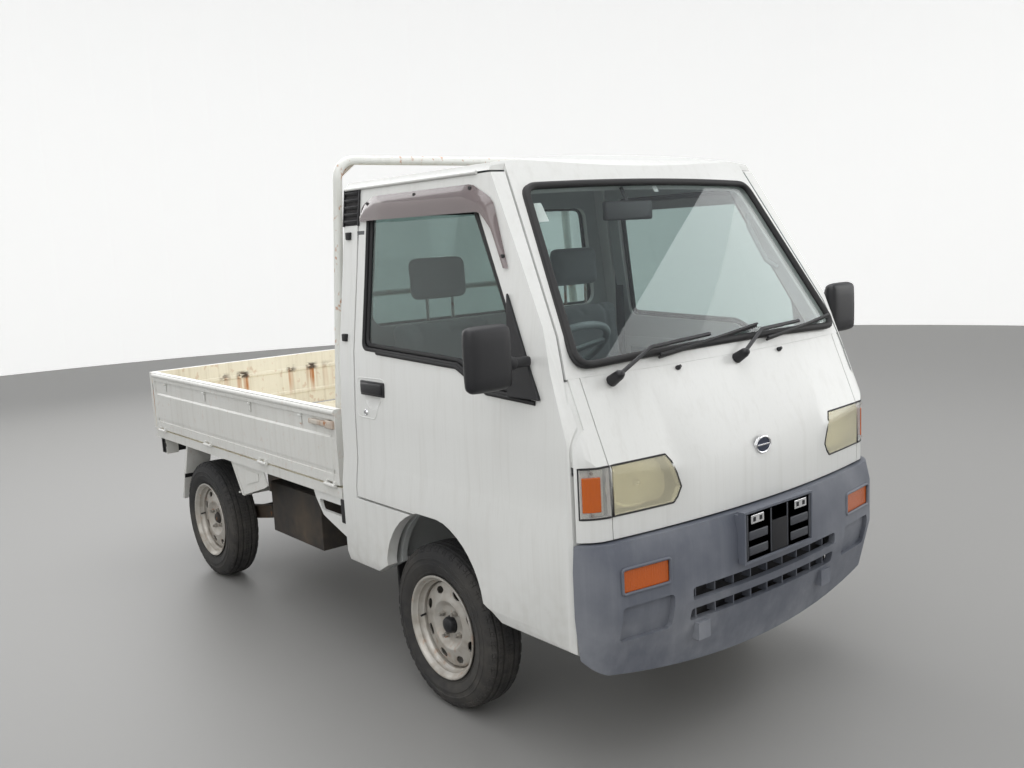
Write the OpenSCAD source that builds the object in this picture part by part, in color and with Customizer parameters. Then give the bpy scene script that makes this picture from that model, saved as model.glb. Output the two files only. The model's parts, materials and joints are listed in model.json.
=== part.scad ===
// Kei truck: a forward-control light truck with a two-seat cab, a drop-side bed and a rear engine.
// Frame: +Z up, the nose points to -Y, the ground is Z = 0, and the origin is the middle of the footprint.
// The driver sits on the -X side, which is the truck's right.

/* [Overall] */
// Length over the front plate holder and the tailgate hinges
truck_len = 3295; // [2800:5:4000]
// Width over the door skins and the gate hinges
truck_w = 1395; // [1350:5:1440]
// Height of the middle of the roof
roof_z = 1762; // [1640:2:2100]
// Distance between the front and rear axles
wheelbase = 1885; // [1700:5:2200]
// Distance from the front of the truck to the front axle
front_overhang = 833.5; // [800:0.5:900]

/* [Cab] */
// Distance from the front of the truck to the back of the cab
cab_len = 1357.5; // [1300:0.5:1500]
// Height of the lowest edge of the cab and door
sill_z = 372; // [360:1:390]
// Height of the belt line, where the windshield and side glass start
belt_z = 1130; // [1100:1:1160]
// Thickness of the outer cab panels
panel_t = 20; // [10:1:25]
// Thickness of the cab's back wall and rear pillars
back_t = 40; // [30:1:45]
// Thickness of the roof
roof_t = 26; // [15:1:40]
// Thickness of a whole door
door_t = 38; // [30:1:42]
// Gap round a shut door
door_gap = 8; // [6:0.5:10]
// Angle of the windshield from vertical
glass_rake = 31.4; // [25:0.2:35]

/* [Bed] */
// Height of the top of the bed floor
floor_z = 650; // [640:1:655]
// Height of a gate from its hinge line to its top
gate_h = 286; // [230:1:350]
// Thickness of a gate
gate_t = 28; // [20:1:34]
// Distance from the bed's front end to the cab's back
bed_gap = 43; // [30:1:60]
// Height of the guard hoop's top
hoop_z = 1838; // [1800:1:2100]

/* [Wheels] */
// Distance between the middles of the two tyres of an axle
track = 1205; // [1000:5:1215]
// Outside diameter of a tyre
tyre_d = 544; // [500:2:560]
// Width of a tyre
tyre_w = 142; // [120:1:150]
// Diameter over the rim flange
rim_d = 342; // [320:1:360]

/* [Hinges] */
// Radius of the door hinge pins
door_pin_r = 3.5; // [3:0.1:4]
// Radius of the gate hinge pins
gate_pin_r = 4; // [3:0.1:4.5]
// Radial play of every hinge pin and axle in its bore
pin_play = 0.05; // [0.02:0.01:0.08]

/* [Hidden] */
$fn = 64;

// The nearest that two fixed pieces come to each other without touching
seam = 0.3;
// The least clearance of a moving piece
run_gap = 5;

half = truck_w / 2;
front_y = -truck_len / 2;
rear_y = truck_len / 2;
axle_f = front_y + front_overhang;
axle_r = axle_f + wheelbase;
hub_z = tyre_d / 2;
wheel_x = track / 2;
cab_back_y = front_y + cab_len;

// Cab skin
nose_y = front_y + 57.5;
nose_r = 3400;
corner_r = 130;
fold_z = 870;
crease_z = 680;
groove_z = 777;
gutter_z = roof_z - 56;
roof_front_y = front_y + 545.5;
cowl_y = front_y + 172;
brow_rake = 22.5;
brow_r = 5000;
brow_corner_r = 80;
pane_r = 7200;
frame_t = 45;
big = 2 * (truck_len + truck_w);

// Door
door_rear_y = cab_back_y - 103;
door_front_y = front_y + 167.5;
door_low_z = crease_z - 35;
hinge_x = half - 29.5;
hinge_y = door_front_y + 16;
hinge_zs = [505, 900];
barrel_r = door_pin_r + 3;
barrel_h = 30;

// Arch of the front wheel: a stretched half round
arch_r = 262;
arch_z = door_low_z + 4;

// Bed
bed_front_y = cab_back_y + bed_gap;
gate_axis_x = half - 7;
gate_axis_y = rear_y - 7;
knuckle_r = 7;
gate_out_x = half - 12.5;
gate_in_x = gate_out_x - gate_t;
tail_out_y = rear_y - 12.5;
tail_in_y = tail_out_y - gate_t;
side_gate_end_y = tail_in_y - 7;
gate_top_z = floor_z + gate_h;
gate_knuckle_ys = [for (i = [0 : 3]) bed_front_y + 65 + i * (side_gate_end_y - bed_front_y - 149) / 3];
tail_knuckle_xs = [-430, 0, 430];
knuckle_l = 40;
ear_l = 18;
rail_x = half - 17.5;
board_y = bed_front_y + 80;
board_t = 25;
hoop_r = 17;
hoop_y = board_y + hoop_r + seam;
hoop_x = gate_in_x - 31;
foot_h = 3;

// ---------- plain helpers ----------

// Points of a round stretch about [cx, cy] from angle a0 to a1
function arc(cx, cy, r, a0, a1, n) =
    [for (i = [0 : n]) let (a = a0 + (a1 - a0) * i / n) [cx + r * cos(a), cy + r * sin(a)]];

// The corners of an outline, each rounded with the same radius
function soft(pts, r, n = 5) = [
    for (i = [0 : len(pts) - 1])
        let (
            p = pts[i],
            a = pts[(i + len(pts) - 1) % len(pts)] - p,
            b = pts[(i + 1) % len(pts)] - p,
            ua = a / norm(a),
            ub = b / norm(b),
            half_angle = acos(max(-1, min(1, ua * ub))) / 2,
            reach = r / tan(half_angle),
            mid = p + (ua + ub) / norm(ua + ub) * r / sin(half_angle),
            s = p + ua * reach - mid,
            e = p + ub * reach - mid,
            a0 = atan2(s[1], s[0]),
            turn = atan2(e[1], e[0]) - a0,
            sweep = turn > 180 ? turn - 360 : turn < -180 ? turn + 360 : turn
        )
        each arc(mid[0], mid[1], r, a0, a0 + sweep, n)
];

// A box from its low corner to its high corner
module block(lo, hi) { translate(lo) cube(hi - lo); }

// Children, and the same on the other side of the truck
module both() { children(); mirror([1, 0, 0]) children(); }

// An outline in Y and Z, stretched along X from x0 to x1
module side_cut(pts, x0, x1) {
    translate([x0, 0, 0]) rotate([90, 0, 90]) linear_extrude(x1 - x0) polygon(pts);
}

// An outline in X and Z, stretched along Y from y0 to y1
module front_cut(pts, y0, y1) {
    translate([0, y1, 0]) rotate([90, 0, 0]) linear_extrude(y1 - y0) polygon(pts);
}

// A round bar between two points
module bar(a, b, r) {
    d = b - a;
    translate(a) rotate([0, acos(d[2] / norm(d)), atan2(d[1], d[0])]) cylinder(h = norm(d), r = r, $fn = 32);
}

// A rod along X from x0 to x1
module rod_x(x0, x1, y, z, r) {
    translate([x0, y, z]) rotate([0, 90, 0]) cylinder(h = x1 - x0, r = r);
}

// A rod along Y from y0 to y1
module rod_y(x, y0, y1, z, r) {
    translate([x, y1, z]) rotate([90, 0, 0]) cylinder(h = y1 - y0, r = r);
}

// ---------- cab skin ----------

// Half the cab's width at its sill, flare, groove, belt and gutter, moved in by t
function skin_right(t) = [
    [half - 42 - t, sill_z - 2], [half - 10 - t, sill_z + 20], [half - t, sill_z + 56], [half - t, crease_z],
    [half - 13 - t, groove_z], [half - 17 - t, groove_z + 170], [half - 29 - t, belt_z + 20],
    [half - 62 - t, belt_z + 275], [half - 99 - t, gutter_z]
];

// The roof's crown from the gutter to the middle, moved down by t
function crown(t) = let (w = half - 112 - t, rise = 34)
    concat([[w + 6, gutter_z + 8 - t / 2]], [for (i = [0 : 6]) let (x = w * (1 - i / 6))
        [x, roof_z - t - rise * pow(x / w, 2)]]);

function mirror_x(pts) = [for (i = [len(pts) - 2 : -1 : 0]) [-pts[i][0], pts[i][1]]];
function front_view(t) = let (r = concat(skin_right(t), crown(t))) concat(r, mirror_x(r));

// The cab from the side, without its nose, moved in by t
function side_view(t) = concat(
    [[cab_back_y - t, sill_z - 3], [cab_back_y - t, gutter_z - 25]],
    arc(cab_back_y - 50 - t, roof_z - 50 - t, 50, 0, 90, 5),
    [for (i = [0 : 8]) [roof_front_y + 100 - 180 * i / 8, roof_z - t - 85 * pow(i / 8, 2)]],
    [[front_y - 200, roof_z - t - 400], [front_y - 200, sill_z - 3]]
);

// A bowed nose seen from above, its middle at y = t, with round corners
module nose(w, bow, r, t) {
    corner_y = bow - sqrt(bow * bow - (w - r) * (w - r)) + r;
    intersection() {
        translate([0, bow]) circle(r = bow - t, $fn = 2400);
        union() {
            translate([-w + r, -bow]) square([2 * (w - r), 2 * bow]);
            translate([-w + t, corner_y]) square([2 * (w - t), bow]);
            for (s = [-1, 1]) translate([s * (w - r), corner_y]) circle(r = max(r - t, 2), $fn = 360);
        }
    }
}

// That nose as a prism that leans back by an angle through the point [y, z]
module nose_prism(y, z, lean, w, bow, r, t) {
    translate([0, y, z]) rotate([-lean, 0, 0]) translate([0, 0, -big / 2]) linear_extrude(big)
        nose(w, bow, r, t);
}

module windshield_slab(t0, t1) {
    difference() {
        nose_prism(cowl_y, belt_z + 22, glass_rake, 2 * half, pane_r, corner_r, t0);
        nose_prism(cowl_y, belt_z + 22, glass_rake, 3 * half, pane_r, corner_r, t1);
    }
}

// The whole cab, moved in by t
module cab(t) {
    intersection() {
        front_cut(front_view(t), front_y - 100, rear_y);
        side_cut(side_view(t), -half, half);
        nose_prism(nose_y, 0, 0, half, nose_r, corner_r, t);
        nose_prism(nose_y + 5, fold_z, brow_rake, half, brow_r, brow_corner_r, t);
        nose_prism(cowl_y, belt_z + 22, glass_rake, 2 * half, pane_r, corner_r, t);
    }
}

module shell(t) { difference() { cab(0); cab(t); } }

// Where the door meets the windshield frame: half the width between the two doors at height z
function pillar_x(z) = half - 55 - (z - belt_z) * 0.163;
function pillar_band(grow) = [
    [-pillar_x(belt_z - 60) - grow, belt_z - 60], [pillar_x(belt_z - 60) + grow, belt_z - 60],
    [pillar_x(roof_z + 60) + grow, roof_z + 60], [-pillar_x(roof_z + 60) - grow, roof_z + 60]
];

// The front wheel's arch from the side, with a flat top and round shoulders
function arch_outline(grow, lift) = concat(
    [[axle_f + arch_r + grow + 120, 0], [axle_f + arch_r + grow + 112, sill_z - 4],
        [axle_f + arch_r + grow - 8, 430 + lift / 2]],
    [for (a = [12 : 8 : 172]) [axle_f - 8 + (arch_r + 8 + grow) * cos(a),
        min(arch_z + lift, 400 + (arch_r - 6 + lift) * sin(a))]],
    [[axle_f - arch_r - grow - 50, 420], [axle_f - arch_r - grow - 140, sill_z - 20],
        [axle_f - arch_r - grow - 140, 0]]
);

// The door from the side; grow moves its edges out
function door_outline(g) = [
    [door_rear_y + g, door_low_z - g], [door_rear_y + g, gutter_z - 6 + g],
    [front_y + 400 - g, gutter_z - 6 + g], [front_y + 150, belt_z + 40],
    [door_front_y - g, belt_z - 8], [door_front_y - g, sill_z - 2 - g],
    [axle_f - arch_r - 2 * g, sill_z - 2 - g], [axle_f, sill_z - 2 - g], [axle_f, door_low_z - g]
];

// Everything on the +X side that belongs to the door's opening
door_in_x = half - 52;
module door_region(g) {
    difference() {
        side_cut(door_outline(g), 0, half + 1);
        front_cut(pillar_band(-g), front_y - 10, rear_y);
        side_cut(arch_outline(2, 2), -1, half + 2);
        block([0, front_y - 10, 0], [door_in_x - g, rear_y, belt_z - 59]);
    }
}

// The side window from the side
function window_outline(g) = soft([
    [door_rear_y - 55 + g, belt_z + 34 - g], [axle_f - 172, belt_z + 14 - g], [axle_f - 320, belt_z - 51 - g],
    [front_y + 298 - g, belt_z - 60 - g], [front_y + 497 - g, belt_z + 290],
    [front_y + 622 - g, gutter_z - 62 + g], [door_rear_y - 55 + g, gutter_z - 62 + g]
], 26);

module door_shape() {
    difference() {
        intersection() { shell(door_t); door_region(0); }
        side_cut(window_outline(0), 0, half + 1);
        door_hinge_room();
    }
}

// Room in the door for its fixed hinge barrels, with the two bores above and below each
module door_hinge_room() {
    for (z = hinge_zs) {
        room = barrel_h / 2 + run_gap;
        translate([hinge_x, hinge_y, z - room]) cylinder(h = 2 * room, r = barrel_r + 2);
        block([0, front_y, z - room], [hinge_x + 5, hinge_y + 14, z + room]);
        translate([hinge_x, hinge_y, z - room - 13]) cylinder(h = 2 * room + 26, r = door_pin_r + pin_play);
    }
}

// One fixed door hinge: a barrel, its pin and the leaf to the hinge post
module door_hinges() {
    for (z = hinge_zs) {
        translate([hinge_x, hinge_y, z - barrel_h / 2]) cylinder(h = barrel_h, r = barrel_r);
        translate([hinge_x, hinge_y, z - barrel_h / 2 - run_gap - 12])
            cylinder(h = barrel_h + 2 * run_gap + 24, r = door_pin_r);
        block([post_x - 1, hinge_y - 4, z - barrel_h / 2], [hinge_x, hinge_y + 4, z + barrel_h / 2]);
    }
}
post_x = half - 69.5;

// ---------- fixed cab pieces ----------

module cab_roof() {
    color("white") intersection() {
        shell(roof_t);
        block([-half, roof_front_y, gutter_z], [half, cab_back_y + 1, roof_z + 1]);
    }
}

module cab_back() {
    color("white") difference() {
        intersection() {
            shell(back_t);
            union() {
                block([-half, door_rear_y + door_gap + 1, sill_z - 5], [half, cab_back_y + 1, gutter_z]);
                block([-half, axle_f, sill_z - 5], [half, cab_back_y - 1, door_low_z - door_gap]);
            }
        }
        both() side_cut(arch_outline(0, 0), floor_half, half + 2);
        // The wall ends above the seat deck, and the rails pass below it
        block([-floor_half - seam, axle_f - 10, 0], [floor_half + seam, cab_back_y + 5, seat_z + seam]);
        front_cut(rear_window_outline(0), cab_back_y - back_t - 5, cab_back_y + 5);
    }
}
function rear_window_outline(g) = soft([
    [-half + 150 - g, belt_z + 90 - g], [half - 150 + g, belt_z + 90 - g],
    [half - 190 + g, gutter_z - 90 + g], [-half + 190 - g, gutter_z - 90 + g]
], 45);

module rear_window() {
    color("DarkSeaGreen") front_cut(rear_window_outline(-seam), cab_back_y - 20, cab_back_y - 6);
}

// The windshield opening, drawn square to the glass with its height along the slope
pane_h = (gutter_z - 30 - belt_z - 34) / cos(glass_rake);
function pane_outline(g) = soft([
    [-half + 98 - g, 24 - g], [half - 98 + g, 24 - g],
    [pillar_x(gutter_z) - 42 + g, pane_h + g], [-pillar_x(gutter_z) + 42 - g, pane_h + g]
], 48);

module pane_prism(g, d0, d1) {
    translate([0, cowl_y, belt_z + 22]) rotate([90 - glass_rake, 0, 0]) translate([0, 0, -d1])
        linear_extrude(d1 - d0) polygon(pane_outline(g));
}

module windshield_frame() {
    color("white") difference() {
        intersection() {
            cab(0);
            windshield_slab(0, frame_t);
            front_cut(pillar_band(-door_gap), front_y, rear_y);
            block([-half, front_y, belt_z], [half, roof_front_y, roof_z + 1]);
        }
        pane_prism(0, -120, 120);
    }
}

module windshield() {
    color("DarkSeaGreen") intersection() {
        windshield_slab(4, 14);
        pane_prism(-seam, -120, 120);
    }
}

// Lamp row: the headlamp inboard of the panel seam, and the clear corner lamp outboard of it
lamp_x0 = half - 350;
panel_seam_x = half - 112;
lamp_lo = 764;
lamp_hi = 901;
function lamp_outline(g) = [
    [lamp_x0 + 24 - g, lamp_lo - g], [panel_seam_x - 4 + g, lamp_lo - g], [panel_seam_x - 4 + g, lamp_hi + g],
    [lamp_x0 + 42 - g, lamp_hi + g], [lamp_x0 - g, lamp_lo + 40]
];

module front_panel() {
    color("white") intersection() {
        difference() {
            shell(panel_t);
            both() front_cut(lamp_outline(seam), front_y, cowl_y + 200);
        }
        front_cut([[-panel_seam_x + 2, 700], [panel_seam_x - 2, 700], [panel_seam_x + 4, belt_z - 0.2],
            [-panel_seam_x - 4, belt_z - 0.2]], front_y, cowl_y + 100);
    }
}

module front_corners() {
    color("white") both() difference() {
        intersection() {
            shell(panel_t);
            front_cut([[panel_seam_x + 1, 700], [half + 1, 700], [half + 1, belt_z - 0.2],
                [panel_seam_x + 7, belt_z - 0.2]], front_y, cowl_y + 200);
            union() {
                block([0, front_y, 0], [half, door_front_y - door_gap, belt_z]);
                block([0, front_y, 0], [post_x + 1, cowl_y + 200, belt_z]);
            }
        }
        block([0, front_y, lamp_lo - seam], [half, door_front_y - 20, lamp_hi + seam]);
    }
}

bumper_out_y = front_y + 22.5;
bumper_t = 22;
module bumper_core(t) {
    intersection() {
        nose_prism(bumper_out_y, 0, 0, half + 1, nose_r, corner_r, t);
        nose_prism(bumper_out_y, 480, -14, half + 1, nose_r, corner_r, t);
        nose_prism(bumper_out_y, 640, 14, half + 1, nose_r, corner_r, t);
    }
}

module bumper_skin(t) {
    intersection() {
        bumper_core(t);
        block([-half + t, front_y - 20, 244 + t], [half - t, rear_y, 694 - t]);
    }
}

turn_x0 = half - 268;
turn_x1 = half - 105;
turn_lo = 555;
turn_hi = 625;
module front_bumper() {
    wrap_y = door_front_y - door_gap - 1;
    color("SlateGray") {
        difference() {
            intersection() {
                difference() {
                    bumper_skin(0);
                    bumper_skin(bumper_t);
                    // The flanges stop inside the skin, which stays whole round the corners
                    intersection() {
                        bumper_core(bumper_t);
                        block([-half + bumper_t, wrap_y - 60, 200], [half - bumper_t, rear_y, 680]);
                    }
                    // The top flange ends at the front panel
                    intersection() { cab(panel_t); block([-half, front_y, 600], [half, rear_y, 800]); }
                }
                side_cut([[front_y - 5, 244], [front_y + 60, 244], [wrap_y, 372], [wrap_y, 695],
                    [front_y - 5, 695]], -half, half);
            }
            // Grille slots, side pockets and the turn lamp seats
            front_cut(soft([[-347, 416], [347, 416], [347, 454], [-347, 454]], 10), front_y - 5, cowl_y);
            front_cut(soft([[-347, 480], [347, 480], [347, 518], [-347, 518]], 10), front_y - 5, cowl_y);
            both() front_cut(soft([[415, 416], [half - 105, 416], [half - 105, 518], [415, 518]], 14),
                front_y - 5, cowl_y);
            both() front_cut([[turn_x0, turn_lo], [turn_x1, turn_lo], [turn_x1, turn_hi], [turn_x0, turn_hi]],
                front_y - 5, cowl_y);
        }
        // Plate holder with its two screw holes
        difference() {
            block([-166, front_y, 545], [166, front_y + 24, 700]);
            block([-160, front_y - 1, 551], [160, front_y + 3, 694]);
            for (x = [-105, 105]) rod_y(x, front_y - 1, front_y + 40, 672, 3.5);
        }
        block([-166, front_y + 20, 560], [-130, front_y + 40, 690]);
        block([130, front_y + 20, 560], [166, front_y + 40, 690]);
        // Brackets to the rails
        both() block([chassis_x - 25, bumper_out_y + 20, rail_low + 10],
            [chassis_x + 25, chassis_front_y - seam, rail_hi]);
    }
}

module front_lamps() {
    color("Gainsboro") both() {
        intersection() {
            difference() { cab(-1); cab(34); }
            front_cut(lamp_outline(0), front_y, cowl_y + 200);
        }
    }
    color("Orange") both() {
        intersection() {
            difference() { cab(-1); cab(18); }
            block([panel_seam_x + 1, front_y, lamp_lo], [half + 1, door_front_y - 20 - seam, lamp_hi]);
        }
        // Turn lamps in the bumper
        intersection() {
            difference() { bumper_skin(2); bumper_skin(30); }
            block([turn_x0 + seam, front_y, turn_lo + seam], [turn_x1 - seam, front_y + 120, turn_hi - seam]);
        }
    }
}

// Cab floor: the tub under the seats, the wheel houses, the bulkhead behind the nose and the hinge posts
floor_half = half - 62;
bulkhead_y = front_y + 148;
foot_z = 430;
seat_z = 700;
module cab_floor() {
    seat_y = axle_f - 150;
    under = foot_z - 24;
    color("LightGray") {
        difference() {
            intersection() {
                union() {
                    // Foot well, heel board and seat deck
                    block([-floor_half, bulkhead_y, under], [floor_half, seat_y, foot_z]);
                    block([-floor_half, seat_y - 24, under], [floor_half, seat_y, seat_z]);
                    block([-floor_half, seat_y - 24, seat_z - 24], [floor_half, cab_back_y - 2, seat_z]);
                    // Bulkhead behind the nose and the hinge posts up to the windshield frame
                    block([-floor_half, bulkhead_y, under], [floor_half, bulkhead_y + 20, belt_z - 60]);
                    both() block([floor_half - 50, bulkhead_y, under], [post_x, hinge_y + 8, belt_z - 60]);
                    both() block([floor_half - 50, hinge_y - 30, belt_z - 110], [post_x, cowl_y + 75, belt_z - seam]);
                    // Wheel houses inside the arches
                    both() intersection() {
                        side_cut(arch_outline(wheel_room + 18, 18), wheelhouse_x - 4, floor_half);
                        block([0, front_y, under], [half, rear_y, roof_z]);
                    }
                    // Side boards behind the wheels
                    both() block([floor_half - 20, axle_f + arch_r - 8, sill_z + 12],
                        [floor_half, cab_back_y - 2, seat_z]);
                }
                cab(panel_t + 2);
            }
            both() side_cut(arch_outline(wheel_room, 0), wheelhouse_x + 14, floor_half - 20);
            both() side_cut(arch_outline(0, 0), wheelhouse_x + 14, half);
        }
        both() door_hinges();
    }
}
wheelhouse_x = wheel_x - 246;
// Room that the steered wheel needs in the wheel house beyond the arch
wheel_room = 44;

module dashboard() {
    back_y = bulkhead_y + 20 + seam;
    color("DimGray") {
        difference() {
            intersection() {
                side_cut(soft([[back_y, 830], [back_y, belt_z - 24], [back_y + 70, belt_z - 12],
                    [back_y + 230, belt_z - 30], [back_y + 280, belt_z - 90], [back_y + 250, 850]], 18),
                    52 - post_x, post_x - 52);
                cab(frame_t + 6);
            }
            block([60, back_y + 195, 880], [400, back_y + 400, 960]);
        }
        // Steering column from the dashboard to the wheel's hub, on the -X side
        bar(steer_c - 330 * steer_n, steer_c - 42 * steer_n, 24);
        bar(steer_c - 60 * steer_n, steer_c - 8 * steer_n, column_r);
    }
}
steer_tilt = 35;
steer_n = [0, sin(steer_tilt), cos(steer_tilt)];
steer_c = [-330, front_y + 597.5, 1135];
column_r = 8;

module steering_wheel() {
    color("DimGray") translate(steer_c) rotate([-steer_tilt, 0, 0]) difference() {
        union() {
            rotate_extrude() translate([178, 0]) circle(r = 12, $fn = 24);
            for (a = [90, 200, 340]) rotate([0, 0, a]) translate([0, -11, -7]) cube([172, 22, 12]);
            translate([0, 0, -14]) cylinder(h = 26, r = 52);
            translate([0, 0, -37]) cylinder(h = 30, r = 20);
        }
        translate([0, 0, -40]) cylinder(h = 33, r = column_r + pin_play);
    }
}

module one_seat(x) {
    w = 430;
    back_y = cab_back_y - 170;
    deck = seat_z + seam;
    side_cut(soft([[axle_f - 140, deck], [axle_f - 140, deck + 95], [axle_f - 110, deck + 118],
        [back_y - 40, deck + 96], [back_y - 30, deck]], 22), x - w / 2, x + w / 2);
    // Back rest and headrest
    side_cut(soft([[back_y - 22, deck], [back_y - 92, deck + 100], [back_y - 22, deck + 545],
        [back_y + 48, deck + 545], [back_y + 60, deck]], 22), x - w / 2, x + w / 2);
    side_cut(soft([[back_y - 18, deck + 600], [back_y - 8, deck + 765], [back_y + 52, deck + 765],
        [back_y + 50, deck + 600]], 24), x - 125, x + 125);
    for (s = [-1, 1]) translate([x + s * 55, back_y + 16, deck + 540]) cylinder(h = 66, r = 6);
}

module seats() { color("Gray") for (x = [-1, 1]) one_seat(x * 330); }

// ---------- doors ----------

module door_glass_shape() {
    difference() {
        intersection() {
            difference() { cab(12); cab(18); }
            side_cut(window_outline(-seam), 0, half);
        }
        front_cut(pillar_band(-door_gap), front_y, rear_y);
    }
}

// Mirror: a sail over the window's front corner, an arm and the head
mirror_x = half + 38;
mirror_y = front_y + 322;
module mirror_shape() {
    intersection() {
        difference() { cab(-10); cab(-seam); }
        side_cut([[front_y + 272, belt_z - 58], [front_y + 410, belt_z - 58], [front_y + 430, belt_z + 235]],
            0, half + 20);
    }
    block([half - 24, mirror_y - 16, belt_z + 40], [mirror_x + 8, mirror_y + 4, belt_z + 62]);
    front_cut(soft([[mirror_x, belt_z - 15], [mirror_x + 155, belt_z - 22], [mirror_x + 160, belt_z + 165],
        [mirror_x + 5, belt_z + 158]], 20), mirror_y - 30, mirror_y + 22);
}

// Rain visor: a thin skin that stands off the door over the window, on a flange along the top
visor_gap = 23;
visor_t = 4;
module visor_shape() {
    difference() {
        union() {
            intersection() {
                difference() { cab(-visor_gap - visor_t); cab(-visor_gap); }
                side_cut(visor_outline, 0, half + 40);
            }
            intersection() {
                difference() { cab(-visor_gap - visor_t); cab(-seam); }
                side_cut(visor_outline, 0, half + 40);
                block([0, roof_front_y - 40, gutter_z - 48], [half, rear_y, gutter_z]);
            }
        }
        block([0, front_y, 0], [half - 110, rear_y, roof_z + 60]);
    }
}
visor_outline = [
    [door_rear_y - 12, gutter_z - 118], [door_rear_y - 12, gutter_z - 70], [door_rear_y - 95, gutter_z - 32],
    [roof_front_y - 8, gutter_z - 32], [roof_front_y - 108, gutter_z - 84], [roof_front_y - 190, gutter_z - 280],
    [roof_front_y - 176, gutter_z - 280], [roof_front_y - 92, gutter_z - 118]
];

module door_right() { color("white") mirror([1, 0, 0]) door_shape(); }
module door_left() { color("white") door_shape(); }
module door_glass_right() { color("DarkSeaGreen") mirror([1, 0, 0]) door_glass_shape(); }
module door_glass_left() { color("DarkSeaGreen") door_glass_shape(); }
module mirror_right() { color("black") mirror([1, 0, 0]) mirror_shape(); }
module mirror_left() { color("black") mirror_shape(); }
module visor_right() { color("RosyBrown") mirror([1, 0, 0]) visor_shape(); }
module visor_left() { color("RosyBrown") visor_shape(); }

// ---------- chassis, bed and gates ----------

chassis_x = 300;
chassis_front_y = front_y + 112;
rail_low = 345;
rail_hi = foot_z - 24 - seam;
bed_low = floor_z - 45;
module chassis_frame() {
    color("DimGray") {
        // Rails, stepping up behind the seats and again over the rear axle
        both() side_cut([[chassis_front_y, rail_low], [axle_f + 215, rail_low], [axle_f + 335, 520],
            [axle_r - 260, 520], [axle_r - 200, 550], [rear_y - 62, 550], [rear_y - 62, bed_low - seam],
            [axle_f + 300, bed_low - seam], [axle_f + 175, rail_hi], [chassis_front_y, rail_hi]],
            chassis_x - 30, chassis_x + 30);
        for (y = [axle_f + 400, axle_r - 330, rear_y - 90])
            block([-chassis_x, y - 25, 552], [chassis_x, y + 25, bed_low - seam]);
        block([-chassis_x - 30, chassis_front_y, rail_low], [chassis_x + 30, chassis_front_y + 60, rail_hi]);
    }
}

module fixed_barrel() {
    // A barrel along X with its leaf, drawn about its axis; its bore takes the gate's pin
    difference() {
        union() {
            rod_x(-knuckle_l / 2, knuckle_l / 2, 0, 0, knuckle_r);
            block([-knuckle_l / 2, -24, -6.5], [knuckle_l / 2, 0, 0]);
        }
        rod_x(-knuckle_l, knuckle_l, 0, 0, gate_pin_r + pin_play);
    }
}

module gate_ear() {
    // Two ears with the pin through the fixed barrel, drawn about the axis, with webs up to the gate
    for (s = [-1, 1]) translate([s * (knuckle_l / 2 + 1 + ear_l / 2), 0, 0]) {
        rod_x(-ear_l / 2, ear_l / 2, 0, 0, knuckle_r);
        block([-ear_l / 2, -16, 0], [ear_l / 2, 0, 16]);
    }
    rod_x(-knuckle_l / 2 - 2, knuckle_l / 2 + 2, 0, 0, gate_pin_r);
}

// Puts a hinge drawn along X at a side gate's axis, on the +X side
module at_side_hinge(y) { translate([gate_axis_x, y, floor_z]) rotate([0, 0, -90]) children(); }
module at_tail_hinge(x) { translate([x, gate_axis_y, floor_z]) children(); }
module hinge_notch() { block([-knuckle_l / 2 - run_gap, -60, -30], [knuckle_l / 2 + run_gap, 20, 13]); }

module load_bed() {
    low = bed_low;
    color("Ivory") difference() {
        union() {
            block([-gate_in_x + 7, bed_front_y, low + 26], [gate_in_x - 7, tail_in_y - 7, floor_z]);
            both() block([rail_x - 70, bed_front_y, low], [rail_x, rear_y - 28, floor_z - run_gap]);
            block([-rail_x, rear_y - 60, low], [rail_x, tail_out_y - 5, floor_z - run_gap]);
            // Front board
            block([-gate_in_x + 7, board_y - board_t, low], [gate_in_x - 7, board_y, gate_top_z - 12]);
            both() for (y = gate_knuckle_ys) at_side_hinge(y) fixed_barrel();
            for (x = tail_knuckle_xs) at_tail_hinge(x) fixed_barrel();
            // Cross ribs under the floor
            for (i = [0 : 4]) let (y = bed_front_y + 180 + i * 330)
                block([-rail_x + 60, y, low], [rail_x - 60, y + 40, low + 26]);
            // Rear corner brackets that carry the lamps
            both() block([half - 105, rear_y - 60, 514], [half - 45, rear_y - 50, low]);
            // Feet of the guard hoop
            both() translate([hoop_x, hoop_y, floor_z - 1]) cylinder(h = foot_h + 1, r = hoop_r + 5);
        }
        // Slots for ropes through the front board
        both() block([gate_in_x - 110, board_y - 60, gate_top_z - 70], [gate_in_x - 60, board_y + 5, gate_top_z - 40]);
    }
}

// A gate standing on the X axis: length l, drawn about its hinge axis with its outside towards -Y
module gate_plate(l) {
    d0 = -(gate_axis_x - gate_in_x);
    d1 = -(gate_axis_x - gate_out_x);
    rib_lo = 58;
    rib_hi = 185;
    difference() {
        block([-l / 2, d0, run_gap], [l / 2, d1, gate_h]);
        // The outer skin steps in below the top rail, and the inner skin is hollowed between its ribs
        side_cut([[d1 - 7, rib_hi], [d1 - 7, gate_h - 40], [d1 + 1, gate_h - 40], [d1 + 1, rib_hi - 8]],
            -l / 2 + 20, l / 2 - 20);
        side_cut([[d1 - 3, 44], [d1 - 3, rib_lo], [d1 + 1, rib_lo + 2], [d1 + 1, 42]], -l / 2 + 20, l / 2 - 20);
    }
}

module side_gate_shape() {
    l = side_gate_end_y - bed_front_y;
    mid = (side_gate_end_y + bed_front_y) / 2;
    difference() {
        translate([gate_axis_x, mid, floor_z]) rotate([0, 0, -90]) gate_plate(l);
        for (y = gate_knuckle_ys) at_side_hinge(y) hinge_notch();
    }
    for (y = gate_knuckle_ys) at_side_hinge(y) gate_ear();
}

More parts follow.
